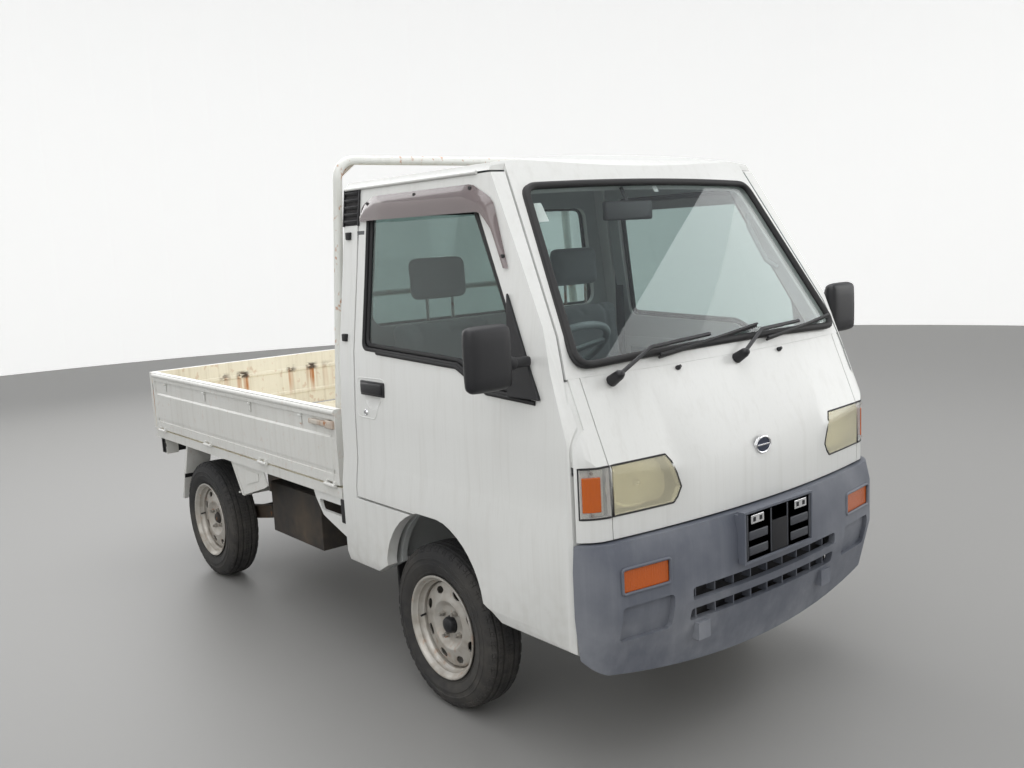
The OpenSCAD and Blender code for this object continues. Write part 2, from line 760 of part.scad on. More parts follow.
module side_gate_right() { color("white") mirror([1, 0, 0]) side_gate_shape(); }
module side_gate_left() { color("white") side_gate_shape(); }
module tailgate() {
    color("white") {
        difference() {
            translate([0, gate_axis_y, floor_z]) gate_plate(2 * gate_out_x);
            for (x = tail_knuckle_xs) at_tail_hinge(x) hinge_notch();
        }
        for (x = tail_knuckle_xs) at_tail_hinge(x) gate_ear();
    }
}

module guard_hoop() {
    bend = 70;
    top_x = half - 153;
    top_z = hoop_z - hoop_r;
    color("Gainsboro") {
        both() {
            bar([hoop_x, hoop_y, floor_z + foot_h + 1.7], [top_x, hoop_y, top_z - bend], hoop_r);
            translate([top_x, hoop_y, top_z - bend]) sphere(r = hoop_r + 0.4);
            translate([top_x - bend, hoop_y, top_z - bend]) rotate([90, 0, 0])
                rotate_extrude(angle = 90, $fn = 48) translate([bend, 0]) circle(r = hoop_r, $fn = 32);
        }
        rod_x(bend - top_x, top_x - bend, hoop_y, top_z, hoop_r);
        rod_x(-top_x - 45, top_x + 45, hoop_y, 1330, 11);
    }
}

module rear_lamps() {
    color("Firebrick") both() block([half - 160, rear_y - 50 + seam, 520], [half - 40, rear_y - 12, 598]);
}

module side_skirts() {
    // Panels behind the cab, under the bed's rails
    color("white") both() difference() {
        side_cut([[cab_back_y + 10, 450], [cab_back_y + 150, 494], [cab_back_y + 209, 514],
            [cab_back_y + 261, 575], [cab_back_y + 275, floor_z - 45], [cab_back_y + 10, floor_z - 45]],
            half - 40, half - 25);
        side_cut(soft([[cab_back_y + 62, 532], [cab_back_y + 220, 532], [cab_back_y + 238, 574],
            [cab_back_y + 62, 574]], 12), half - 60, half);
    }
    color("white") both() block([half - 66, cab_back_y + 10, floor_z - 60], [half - 30, cab_back_y + 40, floor_z - 45]);
}

module mudguards() {
    low = bed_low - seam;
    color("white") both() {
        // Panel ahead of the rear wheel and guard behind it
        side_cut([[axle_r - 425, 461], [axle_r - 331, low], [axle_r - 311, low], [axle_r - 405, 461]],
            half - 150, half - 30);
        side_cut([[axle_r + 246, 455], [axle_r + 185, low], [axle_r + 205, low], [axle_r + 262, 455]],
            half - 150, half - 30);
    }
    color("black") both() {
        side_cut([[axle_r + 300, 322], [axle_r + 258, 466], [axle_r + 266, 468], [axle_r + 308, 324]],
            half - 160, half - 30);
        side_cut([[axle_f + 320, 205], [axle_f + 320, foot_z - 24 - seam],
            [axle_f + 328, foot_z - 24 - seam], [axle_f + 328, 205]], half - 137, floor_half - 20 - seam);
    }
}

// ---------- engine and axles ----------

module engine_block() {
    color("DimGray") block([-190, axle_r + 40, 250], [190, axle_r + 370, 545]);
}

drum_r = 108;
spindle_r = 15;
module rear_axle() {
    // Transaxle ahead of the engine, the two drive shafts, the drums, the stub axles and the trailing arms
    color("DimGray") {
        block([-130, axle_r - 260, 190], [130, axle_r + 39.7, 420]);
        both() {
            rod_x(125, wheel_x - 70, axle_r, hub_z, 16);
            rod_x(wheel_x - 78, wheel_x - 42, axle_r, hub_z, drum_r);
            rod_x(wheel_x - 62, wheel_x + 20, axle_r, hub_z, spindle_r);
            side_cut([[axle_r - 385, 322], [axle_r - 385, 378], [axle_r + 40, hub_z + 34],
                [axle_r + 40, hub_z - 34]], wheel_x - tyre_w / 2 - 37, wheel_x - tyre_w / 2 - 6);
            rod_x(chassis_x - 30, wheel_x - 80, axle_r - 360, 350, 24);
            block([chassis_x - 25, axle_r - 390, 335], [chassis_x + 20, axle_r - 320, 520 - seam]);
        }
    }
}

module fuel_tank() {
    color("DimGray") {
        block([-590, cab_back_y + 390, 310], [-350, cab_back_y + 830, 530]);
        block([-460, cab_back_y + 420, 525], [-360, cab_back_y + 800, bed_low - seam]);
    }
}

module muffler() {
    color("SaddleBrown") {
        rod_x(-250, 250, rear_y - 110, 400, 62);
        bar([-200, rear_y - 110, 400], [-230, rear_y - 30, 380], 16);
        both() block([200, rear_y - 120, 430], [230, rear_y - 100, 552 - seam]);
    }
}

// Front struts: lower arms from the rails, and the strut tubes up to the wheel houses' roofs
king_x = wheel_x - tyre_w / 2 - 34;
king_r = 12;
king_low = 212;
king_hi = 338;
module front_suspension() {
    color("DimGray") both() {
        bar([chassis_x + 10, axle_f, rail_low - 20], [king_x - 8, axle_f, king_low - 40], 14);
        translate([king_x, axle_f, king_low - 40]) cylinder(h = 30, r = 22);
        translate([king_x, axle_f, king_low - 12]) cylinder(h = 18, r = king_r);
        translate([king_x, axle_f, king_hi + 10]) cylinder(h = arch_z - seam - king_hi - 10, r = king_r + 10);
        translate([king_x, axle_f, king_hi - 8]) cylinder(h = 20, r = king_r);
        block([chassis_x - 20, axle_f - 30, rail_low - 45], [chassis_x + 28, axle_f + 30, rail_low - seam]);
    }
}

// The part that steers: a fork on the king pins with the drum and the stub axle for the wheel
module knuckle_shape() {
    difference() {
        union() {
            translate([king_x, axle_f, king_low]) cylinder(h = king_hi - king_low, r = 26);
            rod_x(king_x, wheel_x - 45, axle_f, hub_z, 30);
            rod_x(wheel_x - 66, wheel_x - 42, axle_f, hub_z, drum_r);
            rod_x(wheel_x - 60, wheel_x + 20, axle_f, hub_z, spindle_r);
            block([king_x - 12, axle_f + 10, hub_z - 40], [king_x + 12, axle_f + 110, hub_z - 20]);
        }
        translate([king_x, axle_f, king_low - 1]) cylinder(h = 8, r = king_r + pin_play);
        translate([king_x, axle_f, king_hi - 9]) cylinder(h = 10, r = king_r + pin_play);
    }
}
module knuckle_right() { color("DimGray") mirror([1, 0, 0]) knuckle_shape(); }
module knuckle_left() { color("DimGray") knuckle_shape(); }

// ---------- wheels ----------

// Tyre section: tread with round shoulders, side walls and the bead seat
function tyre_section() = let (r = tyre_d / 2, w = tyre_w / 2, s = 24) concat(
    [[rim_d / 2 - 8, -w + 17], [rim_d / 2 + 1, -w + 13.5], [rim_d / 2 + 12, -w + 8],
        [(r + rim_d / 2) / 2, -w]],
    arc(r - s, -w + s + 6, s, 270, 360, 5),
    arc(r - s, w - s - 6, s, 0, 90, 5),
    [[(r + rim_d / 2) / 2, w], [rim_d / 2 + 12, w - 8], [rim_d / 2 + 1, w - 13.5],
        [rim_d / 2 - 8, w - 17]]
);

module tyre_shape(y) {
    color("#222222") translate([wheel_x, y, hub_z]) rotate([0, 90, 0]) rotate_extrude($fn = 96)
        polygon(tyre_section());
}

// Steel rim: barrel with two flanges, a dished disc with holes, and a hub with its bearing bore
module rim_shape(y) {
    r = rim_d / 2;
    w = tyre_w / 2;
    color("Silver") translate([wheel_x, y, hub_z]) rotate([0, 90, 0]) difference() {
        union() {
            // Barrel with its flanges
            rotate_extrude($fn = 96) polygon([[r - 8.3, -w + 16], [r, -w + 12], [r, -w + 5], [r - 12, -w + 5],
                [r - 17, -w + 18], [r - 17, w - 18], [r - 12, w - 5], [r, w - 5], [r, w - 12],
                [r - 8.3, w - 16]]);
            // Disc
            rotate_extrude($fn = 96) polygon([[0, w - 26], [64, w - 26], [76, w - 42], [r - 60, w - 36],
                [r - 32, w - 42], [r - 16.5, w - 40], [r - 16.5, w - 50], [r - 32, w - 54], [r - 60, w - 46],
                [72, w - 54], [60, w - 38], [0, w - 38]]);
            // Hub and cap
            translate([0, 0, -34]) cylinder(h = w - 26 + 34, r = 44);
            translate([0, 0, w - 27]) cylinder(h = 22, r = 27);
        }
        translate([0, 0, -40]) cylinder(h = 62, r = spindle_r + pin_play);
        for (i = [0 : 7]) rotate([0, 0, i * 45 + 22.5]) translate([r - 46, 0, 0]) cylinder(h = w, r = 12);
    }
}

module tyre_front_right() { mirror([1, 0, 0]) tyre_shape(axle_f); }
module tyre_front_left() { tyre_shape(axle_f); }
module tyre_rear_right() { mirror([1, 0, 0]) tyre_shape(axle_r); }
module tyre_rear_left() { tyre_shape(axle_r); }
module rim_front_right() { mirror([1, 0, 0]) rim_shape(axle_f); }
module rim_front_left() { rim_shape(axle_f); }
module rim_rear_right() { mirror([1, 0, 0]) rim_shape(axle_r); }
module rim_rear_left() { rim_shape(axle_r); }

// ---------- the parts ----------

chassis_frame();
cab_floor();
cab_back();
cab_roof();
windshield_frame();
front_panel();
front_corners();
front_bumper();
windshield();
rear_window();
front_lamps();
dashboard();
seats();
guard_hoop();
load_bed();
rear_lamps();
side_skirts();
mudguards();
engine_block();
rear_axle();
fuel_tank();
muffler();
front_suspension();
door_right();
door_left();
door_glass_right();
door_glass_left();
mirror_right();
mirror_left();
visor_right();
visor_left();
side_gate_right();
side_gate_left();
tailgate();
knuckle_right();
knuckle_left();
tyre_front_right();
tyre_front_left();
tyre_rear_right();
tyre_rear_left();
rim_front_right();
rim_front_left();
rim_rear_right();
rim_rear_left();
steering_wheel();
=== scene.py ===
"""Looks of a kei truck: its painted cab, drop-side bed, wheels, lamps, seats and underside.

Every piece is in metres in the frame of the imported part: +Z up, the nose towards -Y and the ground at Z = 0.
"""

import sys

import json  # noqa: E402
import logging  # noqa: E402
import math  # noqa: E402
from dataclasses import dataclass, field  # noqa: E402
from enum import Enum  # noqa: E402
from typing import Callable, Sequence  # noqa: E402

import bmesh  # noqa: E402
import bpy  # noqa: E402
from mathutils import Matrix, Quaternion, Vector  # noqa: E402

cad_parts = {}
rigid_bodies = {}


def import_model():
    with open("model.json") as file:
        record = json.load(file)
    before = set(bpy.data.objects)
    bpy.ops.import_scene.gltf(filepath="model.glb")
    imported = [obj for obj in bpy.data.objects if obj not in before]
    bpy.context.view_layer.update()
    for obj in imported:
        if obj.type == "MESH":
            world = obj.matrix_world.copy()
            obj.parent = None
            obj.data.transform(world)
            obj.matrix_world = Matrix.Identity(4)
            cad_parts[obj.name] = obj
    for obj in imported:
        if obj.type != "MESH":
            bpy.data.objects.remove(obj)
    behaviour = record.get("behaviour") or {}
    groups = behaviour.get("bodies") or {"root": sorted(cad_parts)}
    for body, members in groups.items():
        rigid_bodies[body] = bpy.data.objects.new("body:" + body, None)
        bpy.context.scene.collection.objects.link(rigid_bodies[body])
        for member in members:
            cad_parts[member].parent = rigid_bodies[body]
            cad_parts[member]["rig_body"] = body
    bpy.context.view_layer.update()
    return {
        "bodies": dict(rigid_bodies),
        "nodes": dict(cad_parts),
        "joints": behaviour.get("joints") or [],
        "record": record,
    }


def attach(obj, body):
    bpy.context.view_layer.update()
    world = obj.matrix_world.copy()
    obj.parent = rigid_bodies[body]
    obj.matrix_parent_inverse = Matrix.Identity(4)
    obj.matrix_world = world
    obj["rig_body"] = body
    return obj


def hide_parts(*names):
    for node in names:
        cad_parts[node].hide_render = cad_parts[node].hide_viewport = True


LOG = logging.getLogger("kei_truck")
Point = Sequence[float]
Colour = tuple[float, float, float]


class Side(Enum):
    """A side of the truck, with its sign along X."""

    RIGHT = -1
    LEFT = 1

    @property
    def tag(self) -> str:
        """The side's name as it ends a piece's name."""
        return self.name.lower()


# ---------- finishes ----------


def link_group(tree: bpy.types.NodeTree, group: bpy.types.NodeTree, **values: object) -> bpy.types.Node:
    """Places a shared effect in a material.

    Args:
        tree: the material's nodes.
        group: the effect.
        values: the effect's inputs by name, with _ for a space.

    Returns:
        The group's node.
    """
    node = tree.nodes.new("ShaderNodeGroup")
    node.node_tree = group
    for name, value in values.items():
        node.inputs[name.replace("_", " ")].default_value = value
    return node


class Effects:
    """The shader node groups that several finishes share."""

    def __init__(self) -> None:
        """Builds each group once."""
        self.weather = self._weather()
        self.grain = self._grain()
        self.rust = self._rust()

    @staticmethod
    def _group(name: str, inputs: Sequence[tuple[str, str, object]], outputs: Sequence[tuple[str, str]]):
        """A new group with its sockets.

        Args:
            name: the group's name.
            inputs: each input's name, socket type and value.
            outputs: each output's name and socket type.

        Returns:
            The group, its input node and its output node.
        """
        group = bpy.data.node_groups.new(name, "ShaderNodeTree")
        for label, kind, value in inputs:
            made = group.interface.new_socket(name=label, in_out="INPUT", socket_type=kind)
            made.default_value = value
        for label, kind in outputs:
            group.interface.new_socket(name=label, in_out="OUTPUT", socket_type=kind)
        return group, group.nodes.new("NodeGroupInput"), group.nodes.new("NodeGroupOutput")

    @staticmethod
    def _noise(group: bpy.types.NodeTree, scale: Point, detail: float, low: float, high: float):
        """A noise mask on Object coordinates.

        Args:
            group: where the nodes go.
            scale: the pattern's scale along each axis.
            detail: octaves of the noise.
            low: noise value that gives 0.
            high: noise value that gives 1.

        Returns:
            The mask's socket.
        """
        place = group.nodes.new("ShaderNodeTexCoord")
        mapping = group.nodes.new("ShaderNodeMapping")
        mapping.inputs["Scale"].default_value = scale
        noise = group.nodes.new("ShaderNodeTexNoise")
        noise.inputs["Scale"].default_value = 1.0
        noise.inputs["Detail"].default_value = detail
        ramp = group.nodes.new("ShaderNodeMapRange")
        ramp.inputs["From Min"].default_value = low
        ramp.inputs["From Max"].default_value = high
        group.links.new(place.outputs["Object"], mapping.inputs["Vector"])
        group.links.new(mapping.outputs["Vector"], noise.inputs["Vector"])
        group.links.new(noise.outputs["Fac"], ramp.inputs["Value"])
        return ramp.outputs["Result"]

    @staticmethod
    def _height(group: bpy.types.NodeTree, zero: float, one: float):
        """A mask that goes from 0 at one height to 1 at another.

        Args:
            group: where the nodes go.
            zero: the height that gives 0.
            one: the height that gives 1.

        Returns:
            The mask's socket.
        """
        place = group.nodes.new("ShaderNodeTexCoord")
        split = group.nodes.new("ShaderNodeSeparateXYZ")
        ramp = group.nodes.new("ShaderNodeMapRange")
        ramp.inputs["From Min"].default_value = zero
        ramp.inputs["From Max"].default_value = one
        group.links.new(place.outputs["Object"], split.inputs[0])
        group.links.new(split.outputs["Z"], ramp.inputs["Value"])
        return ramp.outputs["Result"]

    @staticmethod
    def _math(group: bpy.types.NodeTree, kind: str, a: object, b: object, clamp: bool = False):
        """Joins two values.

        Args:
            group: where the node goes.
            kind: the Math node's operation.
            a: a socket or a number.
            b: a socket or a number.
            clamp: keeps the result from 0 to 1.

        Returns:
            The result's socket.
        """
        node = group.nodes.new("ShaderNodeMath")
        node.operation = kind
        node.use_clamp = clamp
        for socket, value in zip(node.inputs, (a, b)):
            if isinstance(value, (int, float)):
                socket.default_value = value
            else:
                group.links.new(value, socket)
        return node.outputs[0]

    @staticmethod
    def _mix(group: bpy.types.NodeTree, mask: object, a: object, b: object):
        """Mixes two colours.

        Args:
            group: where the node goes.
            mask: the socket that gives b's share.
            a: a colour socket or a colour.
            b: a colour socket or a colour.

        Returns:
            The mixed colour's socket.
        """
        node = group.nodes.new("ShaderNodeMix")
        node.data_type = "RGBA"
        group.links.new(mask, node.inputs["Factor"])
        for socket, value in zip((node.inputs[6], node.inputs[7]), (a, b)):
            if isinstance(value, tuple):
                socket.default_value = (*value, 1.0)
            else:
                group.links.new(value, socket)
        return node.outputs[2]

    def _weather(self) -> bpy.types.NodeTree:
        """Road film: runs down the panels, cloudy patches, and spray near the ground."""
        group, given, out = self._group(
            "weather",
            [
                ("Clean", "NodeSocketColor", (1, 1, 1, 1)),
                ("Dirt", "NodeSocketColor", (0.3, 0.27, 0.22, 1)),
                ("Streaks", "NodeSocketFloat", 0.2),
                ("Patches", "NodeSocketFloat", 0.1),
                ("Spray", "NodeSocketFloat", 0.3),
            ],
            [("Color", "NodeSocketColor"), ("Mask", "NodeSocketFloat")],
        )
        runs = self._noise(group, (38.0, 38.0, 1.6), 4.0, 0.52, 0.78)
        fine = self._noise(group, (150.0, 150.0, 3.0), 2.0, 0.5, 0.8)
        cloud = self._noise(group, (3.2, 3.2, 3.2), 7.0, 0.45, 0.75)
        speck = self._noise(group, (26.0, 26.0, 26.0), 8.0, 0.42, 0.7)
        low = self._height(group, 0.62, 0.22)
        streaks = self._math(group, "MULTIPLY", self._math(group, "ADD", runs, self._math(
            group, "MULTIPLY", fine, 0.5)), given.outputs["Streaks"])
        patches = self._math(group, "MULTIPLY", cloud, given.outputs["Patches"])
        spray = self._math(group, "MULTIPLY", self._math(group, "MULTIPLY", low, self._math(
            group, "ADD", speck, 0.35)), given.outputs["Spray"])
        total = self._math(group, "ADD", self._math(group, "ADD", streaks, patches), spray, clamp=True)
        group.links.new(self._mix(group, total, given.outputs["Clean"], given.outputs["Dirt"]), out.inputs["Color"])
        group.links.new(total, out.inputs["Mask"])
        return group

    def _grain(self) -> bpy.types.NodeTree:
        """A moulded or cast surface: fine grain with slow waves, as a height."""
        group, given, out = self._group(
            "grain",
            [("Fine", "NodeSocketFloat", 0.5), ("Waves", "NodeSocketFloat", 0.2)],
            [("Height", "NodeSocketFloat")],
        )
        fine = self._math(group, "MULTIPLY", self._noise(group, (900.0,) * 3, 3.0, 0.2, 0.8), given.outputs["Fine"])
        waves = self._math(group, "MULTIPLY", self._noise(group, (14.0,) * 3, 2.0, 0.2, 0.8), given.outputs["Waves"])
        group.links.new(self._math(group, "ADD", fine, waves), out.inputs["Height"])
        return group

    def _rust(self) -> bpy.types.NodeTree:
        """Bare scrapes along a bead, with rust at their edges and runs below them, and small spots elsewhere."""
        group, given, out = self._group(
            "rust",
            [
                ("Clean", "NodeSocketColor", (1, 1, 1, 1)),
                ("Spots", "NodeSocketFloat", 0.3),
                ("Runs", "NodeSocketFloat", 0.0),
                ("Scrapes", "NodeSocketFloat", 0.0),
            ],
            [("Color", "NodeSocketColor"), ("Mask", "NodeSocketFloat")],
        )
        spots = self._math(group, "MULTIPLY", self._noise(group, (42.0, 42.0, 30.0), 9.0, 0.61, 0.68),
                           given.outputs["Spots"], clamp=True)
        along = self._noise(group, (5.3, 5.3, 0.4), 2.0, 0.47, 0.54)
        thin = self._noise(group, (46.0, 46.0, 1.2), 3.0, 0.42, 0.58)
        below = self._math(group, "MULTIPLY", self._height(group, 0.872, 0.850), self._height(group, 0.70, 0.80))
        runs = self._math(group, "MULTIPLY", self._math(group, "MULTIPLY", self._math(
            group, "MULTIPLY", along, thin), below), given.outputs["Runs"], clamp=True)
        band = self._math(group, "MULTIPLY", self._height(group, 0.886, 0.872), self._height(group, 0.838, 0.852))
        rough = self._noise(group, (30.0, 30.0, 60.0), 6.0, 0.40, 0.50)
        scrape = self._math(group, "MULTIPLY", self._math(group, "MULTIPLY", self._math(
            group, "MULTIPLY", along, rough), band), given.outputs["Scrapes"], clamp=True)
        orange = self._mix(group, self._math(group, "MAXIMUM", spots, runs), given.outputs["Clean"], (0.42, 0.15, 0.035))
        group.links.new(self._mix(group, scrape, orange, (0.06, 0.045, 0.035)), out.inputs["Color"])
        group.links.new(self._math(group, "MAXIMUM", self._math(group, "MAXIMUM", spots, runs), scrape),
                        out.inputs["Mask"])
        return group


@dataclass(frozen=True)
class Finish:
    """A surface finish: its colour and gloss, and how grain, dirt and rust show on it."""

    name: str
    colour: Colour
    roughness: float = 0.5
    metallic: float = 0.0
    coat: float = 0.0
    transmission: float = 0.0
    ior: float = 1.5
    sheen: float = 0.0
    fine: float = 0.0
    waves: float = 0.0
    bump: float = 0.12
    dirt: Colour = (0.30, 0.27, 0.21)
    streaks: float = 0.0
    patches: float = 0.0
    spray: float = 0.0
    spots: float = 0.0
    runs: float = 0.0
    scrapes: float = 0.0
    glow: float = 0.0
    ribs: float = 0.0
    weave: float = 0.0
    lets_light: float = 0.0

    def build(self, effects: Effects) -> bpy.types.Material:
        """Makes the material.

        Args:
            effects: the shared node groups.

        Returns:
            The material.
        """
        material = bpy.data.materials.new(self.name)
        material.use_nodes = True
        tree = material.node_tree
        shader = tree.nodes["Principled BSDF"]
        for label, value in (
            ("Metallic", self.metallic), ("Roughness", self.roughness), ("IOR", self.ior),
            ("Transmission Weight", self.transmission), ("Coat Weight", self.coat), ("Coat Roughness", 0.12),
            ("Sheen Weight", self.sheen), ("Emission Strength", self.glow),
        ):
            shader.inputs[label].default_value = value
        shader.inputs["Base Color"].default_value = (*self.colour, 1.0)
        shader.inputs["Emission Color"].default_value = (*self.colour, 1.0)
        self._colour(tree, shader, effects)
        self._relief(tree, shader, effects)
        if self.lets_light:
            path = tree.nodes.new("ShaderNodeLightPath")
            ramp = tree.nodes.new("ShaderNodeMapRange")
            ramp.inputs["To Min"].default_value = 1.0
            ramp.inputs["To Max"].default_value = 1.0 - self.lets_light
            tree.links.new(path.outputs["Is Shadow Ray"], ramp.inputs["Value"])
            tree.links.new(ramp.outputs["Result"], shader.inputs["Alpha"])
        return material

    def _colour(self, tree: bpy.types.NodeTree, shader: bpy.types.Node, effects: Effects) -> None:
        """Feeds the base colour and roughness through rust and dirt.

        Args:
            tree: the material's nodes.
            shader: its Principled BSDF.
            effects: the shared node groups.
        """
        last, masks = None, []
        if self.spots or self.runs or self.scrapes:
            rust = link_group(tree, effects.rust, Spots=self.spots, Runs=self.runs, Scrapes=self.scrapes,
                              Clean=(*self.colour, 1.0))
            last = rust.outputs["Color"]
            masks.append(rust.outputs["Mask"])
        film = link_group(tree, effects.weather, Clean=(*self.colour, 1.0), Dirt=(*self.dirt, 1.0),
                          Streaks=self.streaks, Patches=self.patches, Spray=self.spray)
        if last is not None:
            tree.links.new(last, film.inputs["Clean"])
        tree.links.new(film.outputs["Color"], shader.inputs["Base Color"])
        masks.append(film.outputs["Mask"])
        if self.transmission == 0.0:
            ramp = tree.nodes.new("ShaderNodeMapRange")
            ramp.inputs["To Min"].default_value = self.roughness
            ramp.inputs["To Max"].default_value = min(0.95, self.roughness + 0.45)
            tree.links.new(masks[0], ramp.inputs["Value"])
            tree.links.new(ramp.outputs["Result"], shader.inputs["Roughness"])

    def _relief(self, tree: bpy.types.NodeTree, shader: bpy.types.Node, effects: Effects) -> None:
        """Feeds the normal with grain, lens ribs or weave.

        Args:
            tree: the material's nodes.
            shader: its Principled BSDF.
            effects: the shared node groups.
        """
        if not (self.fine or self.waves or self.ribs or self.weave):
            return
        bump = tree.nodes.new("ShaderNodeBump")
        bump.inputs["Strength"].default_value = self.bump
        bump.inputs["Distance"].default_value = 0.002
        if self.ribs or self.weave:
            place = tree.nodes.new("ShaderNodeTexCoord")
            wave = tree.nodes.new("ShaderNodeTexWave")
            wave.bands_direction = "X"
            wave.inputs["Scale"].default_value = self.ribs or self.weave
            tree.links.new(place.outputs["Object"], wave.inputs["Vector"])
            source = wave.outputs["Fac"]
            if self.weave:
                cross = tree.nodes.new("ShaderNodeTexWave")
                cross.bands_direction = "DIAGONAL"
                cross.inputs["Scale"].default_value = self.weave
                tree.links.new(place.outputs["Object"], cross.inputs["Vector"])
                both = tree.nodes.new("ShaderNodeMath")
                both.operation = "MULTIPLY"
                tree.links.new(source, both.inputs[0])
                tree.links.new(cross.outputs["Fac"], both.inputs[1])
                source = both.outputs[0]
        else:
            grain = link_group(tree, effects.grain, Fine=self.fine, Waves=self.waves)
            source = grain.outputs["Height"]
        tree.links.new(source, bump.inputs["Height"])
        tree.links.new(bump.outputs["Normal"], shader.inputs["Normal"])


ROAD_DUST = (0.32, 0.28, 0.21)
BODY_WHITE = Finish("body_white", (0.69, 0.695, 0.675), 0.30, coat=0.35, dirt=(0.36, 0.34, 0.29), streaks=0.13,
                    patches=0.06, spray=0.35, waves=0.4, bump=0.05)
CAB_INNER = Finish("cab_inner_grey", (0.42, 0.44, 0.44), 0.6, dirt=ROAD_DUST, patches=0.15, fine=0.5)
GATE_WHITE = Finish("gate_white", (0.66, 0.66, 0.63), 0.38, coat=0.15, dirt=(0.34, 0.31, 0.25), streaks=0.20,
                    patches=0.10, spray=0.3, spots=0.12, waves=0.4, bump=0.06)
BED_CREAM = Finish("bed_cream", (0.74, 0.70, 0.57), 0.55, dirt=(0.33, 0.27, 0.18), streaks=0.28, patches=0.35,
                   spots=0.4, waves=0.6, bump=0.15)
TAILGATE_CREAM = Finish("tailgate_cream", (0.76, 0.72, 0.60), 0.5, dirt=(0.36, 0.29, 0.19), streaks=0.30,
                        patches=0.20, spots=0.30, runs=1.0, scrapes=1.0, waves=0.6, bump=0.15)
HOOP_PAINT = Finish("hoop_paint", (0.70, 0.71, 0.68), 0.36, coat=0.2, dirt=ROAD_DUST, streaks=0.15, patches=0.15,
                    spots=0.75)
RUSTY_PLATE = Finish("rusty_plate", (0.60, 0.58, 0.52), 0.6, dirt=(0.30, 0.13, 0.05), streaks=0.5, patches=0.6,
                     spots=1.0, fine=0.6)
BUMPER_GREY = Finish("bumper_grey", (0.105, 0.115, 0.142), 0.52, dirt=(0.30, 0.31, 0.33), streaks=0.10, patches=0.55,
                     spray=0.25, fine=0.8, waves=0.5, bump=0.10)
HOLDER_GREY = Finish("holder_grey", (0.040, 0.043, 0.052), 0.5, dirt=(0.16, 0.16, 0.17), patches=0.4, fine=0.8)
BLACK_PLASTIC = Finish("black_plastic", (0.006, 0.006, 0.008), 0.42, dirt=(0.04, 0.04, 0.04), patches=0.25,
                       fine=1.0, bump=0.10)
RUBBER = Finish("seal_rubber", (0.006, 0.006, 0.007), 0.6, dirt=(0.06, 0.055, 0.05), patches=0.25, fine=0.6)
# Near-black painted shade: stands in for the shade inside vents, slots and holes and behind the grille.
PAINTED_SHADE = Finish("dark_recess", (0.012, 0.012, 0.014), 0.8, dirt=(0.06, 0.05, 0.04), patches=0.4)
WINDOW = Finish("window_glass", (0.80, 0.87, 0.86), 0.01, transmission=1.0, ior=1.45, lets_light=0.80)
TINTED = Finish("tinted_glass", (0.34, 0.42, 0.405), 0.01, transmission=1.0, ior=1.45, lets_light=0.60)
SMOKED = Finish("smoked_visor", (0.30, 0.25, 0.25), 0.08, transmission=0.55, ior=1.35, lets_light=0.4, coat=0.5,
                dirt=ROAD_DUST, patches=0.10)
HEAD_LENS = Finish("aged_lens", (0.88, 0.84, 0.66), 0.12, transmission=0.72, ior=1.4, lets_light=0.9,
                   dirt=(0.55, 0.50, 0.36), patches=0.3, ribs=26.0, bump=0.10)
CLEAR_LENS = Finish("clear_lens", (0.88, 0.88, 0.86), 0.08, transmission=0.85, ior=1.4, lets_light=0.9,
                    dirt=(0.5, 0.5, 0.45), patches=0.2, ribs=30.0, bump=0.08)
AMBER_LENS = Finish("amber_lens", (0.60, 0.12, 0.010), 0.16, transmission=0.25, ior=1.4, lets_light=0.5, ribs=40.0,
                    coat=0.6, dirt=(0.40, 0.10, 0.015), patches=0.35, glow=0.02, bump=0.25)
RED_LENS = Finish("red_lens", (0.55, 0.02, 0.015), 0.16, transmission=0.2, ior=1.4, lets_light=0.5, ribs=40.0,
                  bump=0.25, glow=0.03)
REFLECTOR = Finish("lamp_reflector", (0.86, 0.85, 0.76), 0.34, metallic=0.55, ribs=14.0, bump=0.12)
CHROME = Finish("chrome", (0.76, 0.76, 0.77), 0.10, metallic=1.0, dirt=(0.2, 0.19, 0.18), patches=0.15)
BADGE_DARK = Finish("badge_field", (0.05, 0.06, 0.09), 0.3, metallic=0.6, patches=0.1)
WHEEL_PAINT = Finish("wheel_paint", (0.50, 0.485, 0.45), 0.36, metallic=0.35, dirt=(0.20, 0.15, 0.10),
                     streaks=0.05, patches=0.25, spray=0.40, spots=0.30, fine=0.3)
RIM_LIP = Finish("rim_lip", (0.40, 0.33, 0.26), 0.5, metallic=0.4, dirt=(0.19, 0.10, 0.05), patches=0.6, spots=0.9)
TYRE = Finish("tyre_rubber", (0.016, 0.016, 0.017), 0.78, dirt=(0.085, 0.078, 0.068), patches=0.5, spray=0.3,
              fine=0.9, bump=0.22)
BOLT_STEEL = Finish("bolt_steel", (0.40, 0.38, 0.35), 0.42, metallic=0.8, dirt=(0.20, 0.10, 0.05), patches=0.5,
                    spots=0.8)
UNDERSIDE = Finish("underside_black", (0.020, 0.018, 0.017), 0.75, dirt=(0.12, 0.09, 0.06), patches=0.6, spray=0.3,
                   fine=0.8, bump=0.25)
CAST_IRON = Finish("cast_iron", (0.05, 0.045, 0.04), 0.7, metallic=0.3, dirt=(0.14, 0.09, 0.05), patches=0.6,
                   spots=0.5, fine=1.0, bump=0.35)
EXHAUST = Finish("exhaust_steel", (0.18, 0.13, 0.10), 0.62, metallic=0.6, dirt=(0.22, 0.10, 0.04), patches=0.7,
                 spots=1.0, fine=0.7)
DASH_GREY = Finish("dash_grey", (0.17, 0.20, 0.205), 0.62, dirt=(0.32, 0.31, 0.28), patches=0.2, fine=1.0, bump=0.25)
SEAT_CLOTH = Finish("seat_cloth", (0.20, 0.215, 0.225), 0.9, sheen=0.3, dirt=(0.12, 0.11, 0.10), patches=0.3,
                    weave=900.0, bump=0.30)
